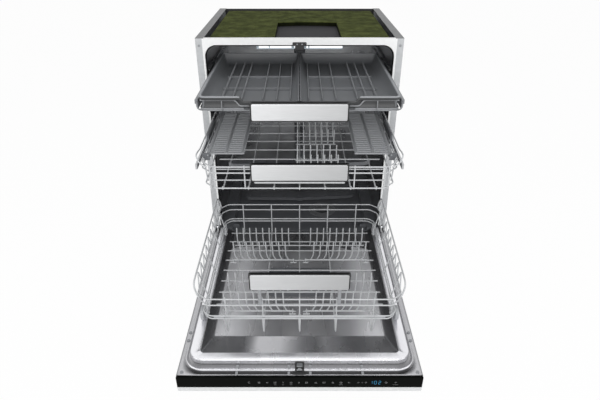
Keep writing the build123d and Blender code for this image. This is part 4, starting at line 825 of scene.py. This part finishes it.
# Each ring: half width, front, corner radius, height along the front and sides, and its painted
# light and shade along the front and sides as a grey from 0 to 255. The ridge runs out flat along the sides.
liner_profile = [
    (297.0, -631.0, 1.0, 158.8, 158.8, 200, 70), (297.0, -631.0, 1.0, 160.0, 160.0, 235, 96),
    (295.2, -630.6, 6, 160.0, 160.0, 232, 182), (292, -629.6, 20, 160.0, 160.0, 225, 196),
    (290, -628.6, 32, 159.6, 159.9, 205, 200), (287.6, -624.6, 44, 156.6, 159.7, 140, 196),
    (286.4, -621.6, 49, 154.9, 159.6, 85, 192), (285.6, -620, 49, 154.6, 159.6, 78, 190),
    (285.0, -618.8, 48.6, 156.4, 159.6, 88, 190), (284.6, -618.2, 48.2, 160.4, 159.7, 140, 192),
    (284.2, -617.6, 48, 161.7, 159.8, 245, 198), (283.4, -615.6, 46, 162.0, 159.8, 255, 202),
    (282.6, -613.4, 45, 161.7, 159.6, 250, 198), (282.1, -612.4, 44.6, 160.6, 159.2, 200, 186),
    (281.4, -611.2, 44, 155.0, 157.8, 132, 186), (280.6, -609.4, 43, 154.0, 157.2, 162, 180),
    (277.6, -597.5, 37, 154.0, 157.2, 116, 178), (276.8, -594.4, 36, 154.8, 157.6, 100, 178),
    (276.2, -593, 35, 159.0, 160.0, 250, 200), (275.6, -592.4, 34.6, 167.4, 167.4, 255, 225),
    (274.9, -591.6, 34, 169.4, 169.4, 190, 240), (273.2, -590, 33, 170.0, 170.0, 250, 252),
    (253, -571.5, 18, 170.0, 170.0, 252, 252), (250.8, -569.6, 11, 169.5, 169.5, 255, 255),
    (249, -567, 8, 168.0, 168.0, 235, 160), (231.5, -483, 4, 137.6, 137.6, 255, 215),
    (230.4, -480.6, 3.6, 136.3, 136.3, 175, 140), (228.6, -478.4, 3.2, 136.0, 136.0, 245, 245),
    (200, -400, 3, 136.0, 136.0, 248, 248), (120, -250, 3, 136.0, 136.0, 248, 248),
    (40, -100, 3, 136.0, 136.0, 248, 248), (8, -20, 3, 136.0, 136.0, 248, 248),
]
grid = np.stack([door_outline(*ring[:4]) for ring in liner_profile])
facing = np.clip((-560 - grid[..., 1]) / 40, 0, 1) * np.clip((292 - np.abs(grid[..., 0])) / 30, 0, 1)
side_heights = np.array([ring[4] for ring in liner_profile])[:, None]
grid[..., 2] = side_heights + (grid[..., 2] - side_heights) * facing
# The pan's floor climbs to a low lip at the hinge end.
pan_edge, thickness = 23, 0.9
lip = 136 + 21 * np.clip((grid[..., 1] + 60) / 54, 0, 1)
in_pan = np.arange(len(liner_profile))[:, None] >= pan_edge
grid[..., 2] = np.where(in_pan, np.maximum(grid[..., 2], lip), grid[..., 2])
under = grid - (0, 0, thickness)
# The back of the sheet mirrors its face, and a strip of faces round the edge joins the two.
rows, columns, _ = grid.shape
face = grid_faces(rows, columns)
back = face[:, ::-1] + rows * columns
index = np.arange(rows * columns).reshape(rows, columns)
edge = np.concatenate([index[0], index[1:, -1], index[-1, -2::-1], index[-2:0:-1, 0]])
follow = np.roll(edge, -1)
edge_strip = np.stack([follow, edge, edge + rows * columns, follow + rows * columns], -1)
points = np.vstack([grid.reshape(-1, 3), under.reshape(-1, 3)])
sheet = (points, np.vstack([face, back, edge_strip]), np.zeros((0, 3), int))
liner = piece("liner_pressing", [sheet], mirror_steel, "door", ["door_liner"], sharp=50)
# The attribute of painted light and shade: red is the painted brightness of each ring, and green is 1 on the
# pan.
fronts, flanks = (np.array([ring[i] for ring in liner_profile]) / 255 for i in (5, 6))
inside = np.arange(rows)[:, None] > pan_edge
facing = np.where(inside, (np.abs(grid[..., 0]) < np.abs(grid[..., :1, 0]) - 0.5), facing)
grey = flanks[:, None] * (1 - facing) + fronts[:, None] * facing
polish = np.zeros((*grey.shape, 4))
polish[..., 0] = grey ** 2.2
polish[..., 1] = inside
polish[..., 3] = 1.0
layer = liner.data.attributes.new("polish", "FLOAT_COLOR", "POINT")
layer.data.foreach_set("color", np.concatenate([polish, polish]).ravel())

primed, tree, shader = finish_for("white_primed_door_sheet", "#cbcccd", 0.45)
grained(tree, shader, 9.0, 0.01, rough=(0.4, 0.5), tint=("#c7c8c9", "#cfd0d1"))
dress(primed, "door_panel")


# Latch and small hardware on the door: a steel cover over the catch with a pin across the ridge,
# black plates that paint the shadow round the cover and in the groove in front of it, and pale
# pressed clips that hold the liner to the panel.
cover = [slab((0, -604.2, 165.0), 7.2, 5.6, 1.4, 2, 0.6), slab((0, -596.5, 162.2), 5, 2.4, 3.4, 1.2, 0.6)]
piece("latch_cover", cover, zinc, "door")
# Painted shadow: black plates round the cover and in the groove in front of it.
shadow_plates = [slab((0, -603.4, 164.2), 9.6, 8.2, 1.8, 2.0, 0.6), slab((0, -621.6, 157.4), 17, 3.4, 3.6, 2, 0.8)]
piece("latch_shadow_plates", shadow_plates, black_moulding, "door")
clips = [slab((0, -615.2, 162.6), 4.6, 3.6, 2.4, 3, 0.8)]
for side in (-1, 1):
    for x in (26, 153):
        for d, z, deep in ((-603.6, 156.1, 6.6), (-622.6, 157.0, 4.6)):
            clips.append(slab((side * x, d, z), 3.2, deep, 4.4, 1.6, 0.8))
piece("liner_clips", clips, pale_moulding, "door")


# The control fascia: a glossy black touch panel along the door's front edge, with printed keys
# that are lit from behind and a plain figure display.
def lit_by(colour, strength):
    """The sockets of a finish that gives off its own light."""
    return {"Emission Color": linear(colour), "Emission Strength": strength}


gloss_black, tree, shader = finish_for("gloss_black_touch_panel", "#0b0c0b", 0.12, others=dull_by(0.02))
grained(tree, shader, 9.0, 0.004, rough=(0.1, 0.15))
fascia = [slab((0, -634.8, 141.55), 298, 17.15, 5.6, 1.2, 1.1, "upright")]
piece("touch_fascia", fascia, gloss_black, "door", ["control_fascia"])


print_d, key_z, caption_z = -637.5, 142.0, 134.4


def strokes(shapes, x, z, wide, high, radius):
    """Line shapes in a unit square drawn on the fascia's face, wide by high, from x and z."""
    return [wire([(x + u * wide, print_d, z + v * high) for u, v in shape], radius, 6) for shape in shapes]


turn = np.radians(np.linspace(0, 360, 17)[:-1])
loop = [(0.5 * np.cos(a), 0.5 * np.sin(a)) for a in turn]
loop.append(loop[0])
bar, post = [(-0.5, 0.0), (0.5, 0.0)], [(0.0, -0.5), (0.0, 0.5)]
wave = [(-0.5, 0.2), (-0.25, -0.2), (0.0, 0.2), (0.25, -0.2), (0.5, 0.2)]
tent = [(-0.5, -0.4), (0.0, 0.45), (0.5, -0.4), (-0.5, -0.4)]
box = [(-0.5, -0.4), (-0.5, 0.4), (0.5, 0.4), (0.5, -0.4), (-0.5, -0.4)]
keys = (
    (-122, [loop[2:15], [(0.0, 0.1), (0.0, 0.55)]]), (-98, [loop, bar]), (-78.5, [wave, bar]),
    (-59, [box, post]), (-40, [post, [(-0.3, 0.3), (0.3, 0.3)]]), (-20.5, [wave, tent]), (-1.5, [loop]),
    (17, [box, bar]), (39.5, [post, tent]), (59, [box, wave]), (80.5, [tent, bar]), (100, [loop, post]),
    (119, [post, bar]), (142, [loop]), (151, [bar]), (160, [loop]), (209, [loop, wave]), (232.5, [bar, post]),
)
ink, tree, shader = finish_for("printed_grey_key_symbols", "#858587", 0.5, others=lit_by("#6d6d6f", 0.3))
grained(tree, shader, 1.0, 0.002, rough=(0.45, 0.55))
printed = []
for x, shapes in keys:
    size = 5.6 if len(shapes) > 1 else 3.4
    printed += strokes(shapes, x, key_z, size, size, 0.27)
for x, wide in ((-59, 6), (-40, 5), (-20.5, 6), (100, 8), (232.5, 14)):
    printed += strokes([bar], x, caption_z, wide, 1, 0.27)
piece("key_symbols", printed, ink, "door")

segments = {
    "a": [(0, 1), (0.55, 1)], "b": [(0.6, 0.95), (0.6, 0.55)], "c": [(0.6, 0.45), (0.6, 0.05)],
    "d": [(0, 0), (0.55, 0)], "e": [(-0.05, 0.05), (-0.05, 0.45)], "f": [(-0.05, 0.55), (-0.05, 0.95)],
    "g": [(0, 0.5), (0.55, 0.5)], "p": [(0, 0.3), (0, 0.36)], "q": [(0, 0.66), (0, 0.72)],
}
lit, tree, shader = finish_for("lit_blue_display_segments", "#1f7096", 0.4, others=lit_by("#2c86b0", 0.6))
grained(tree, shader, 1.0, 0.002, rough=(0.35, 0.45))
digits = []
for x, used in ((171, "bc"), (181.5, "abcdef"), (191.5, "abged"), (178.4, "pq")):
    digits += strokes([segments[key] for key in used], x, 136.6, 7.4, 11.0, 0.42)
piece("display_digits", digits, lit, "door")


# Lit windows of the tub's light bar, and the screws that hold the strike.
glow, tree, shader = finish_for("lit_opal_acrylic_windows", "#f2f6f8", 0.3, others=lit_by("#ffffff", 0.9))
grained(tree, shader, 3.0, 0.01, rough=(0.25, 0.35))
windows = [
    slab(((a + b) / 2, 14.8, 789.6), (b - a) / 2, 5.2, 0.8, 0.8, 0.3, "upright")
    for a, b in ((-118, -90), (-86, -24), (-15.5, -10), (20, 24.5), (29, 124))
]
piece("light_windows", windows, glow, "cabinet")
heads = [slab((x, -2.7, 798.4), 1.9, 1.9, 0.9, 1.8, 0.4, "upright") for x in (-7, 7)]
piece("strike_screw_heads", heads, zinc, "cabinet")
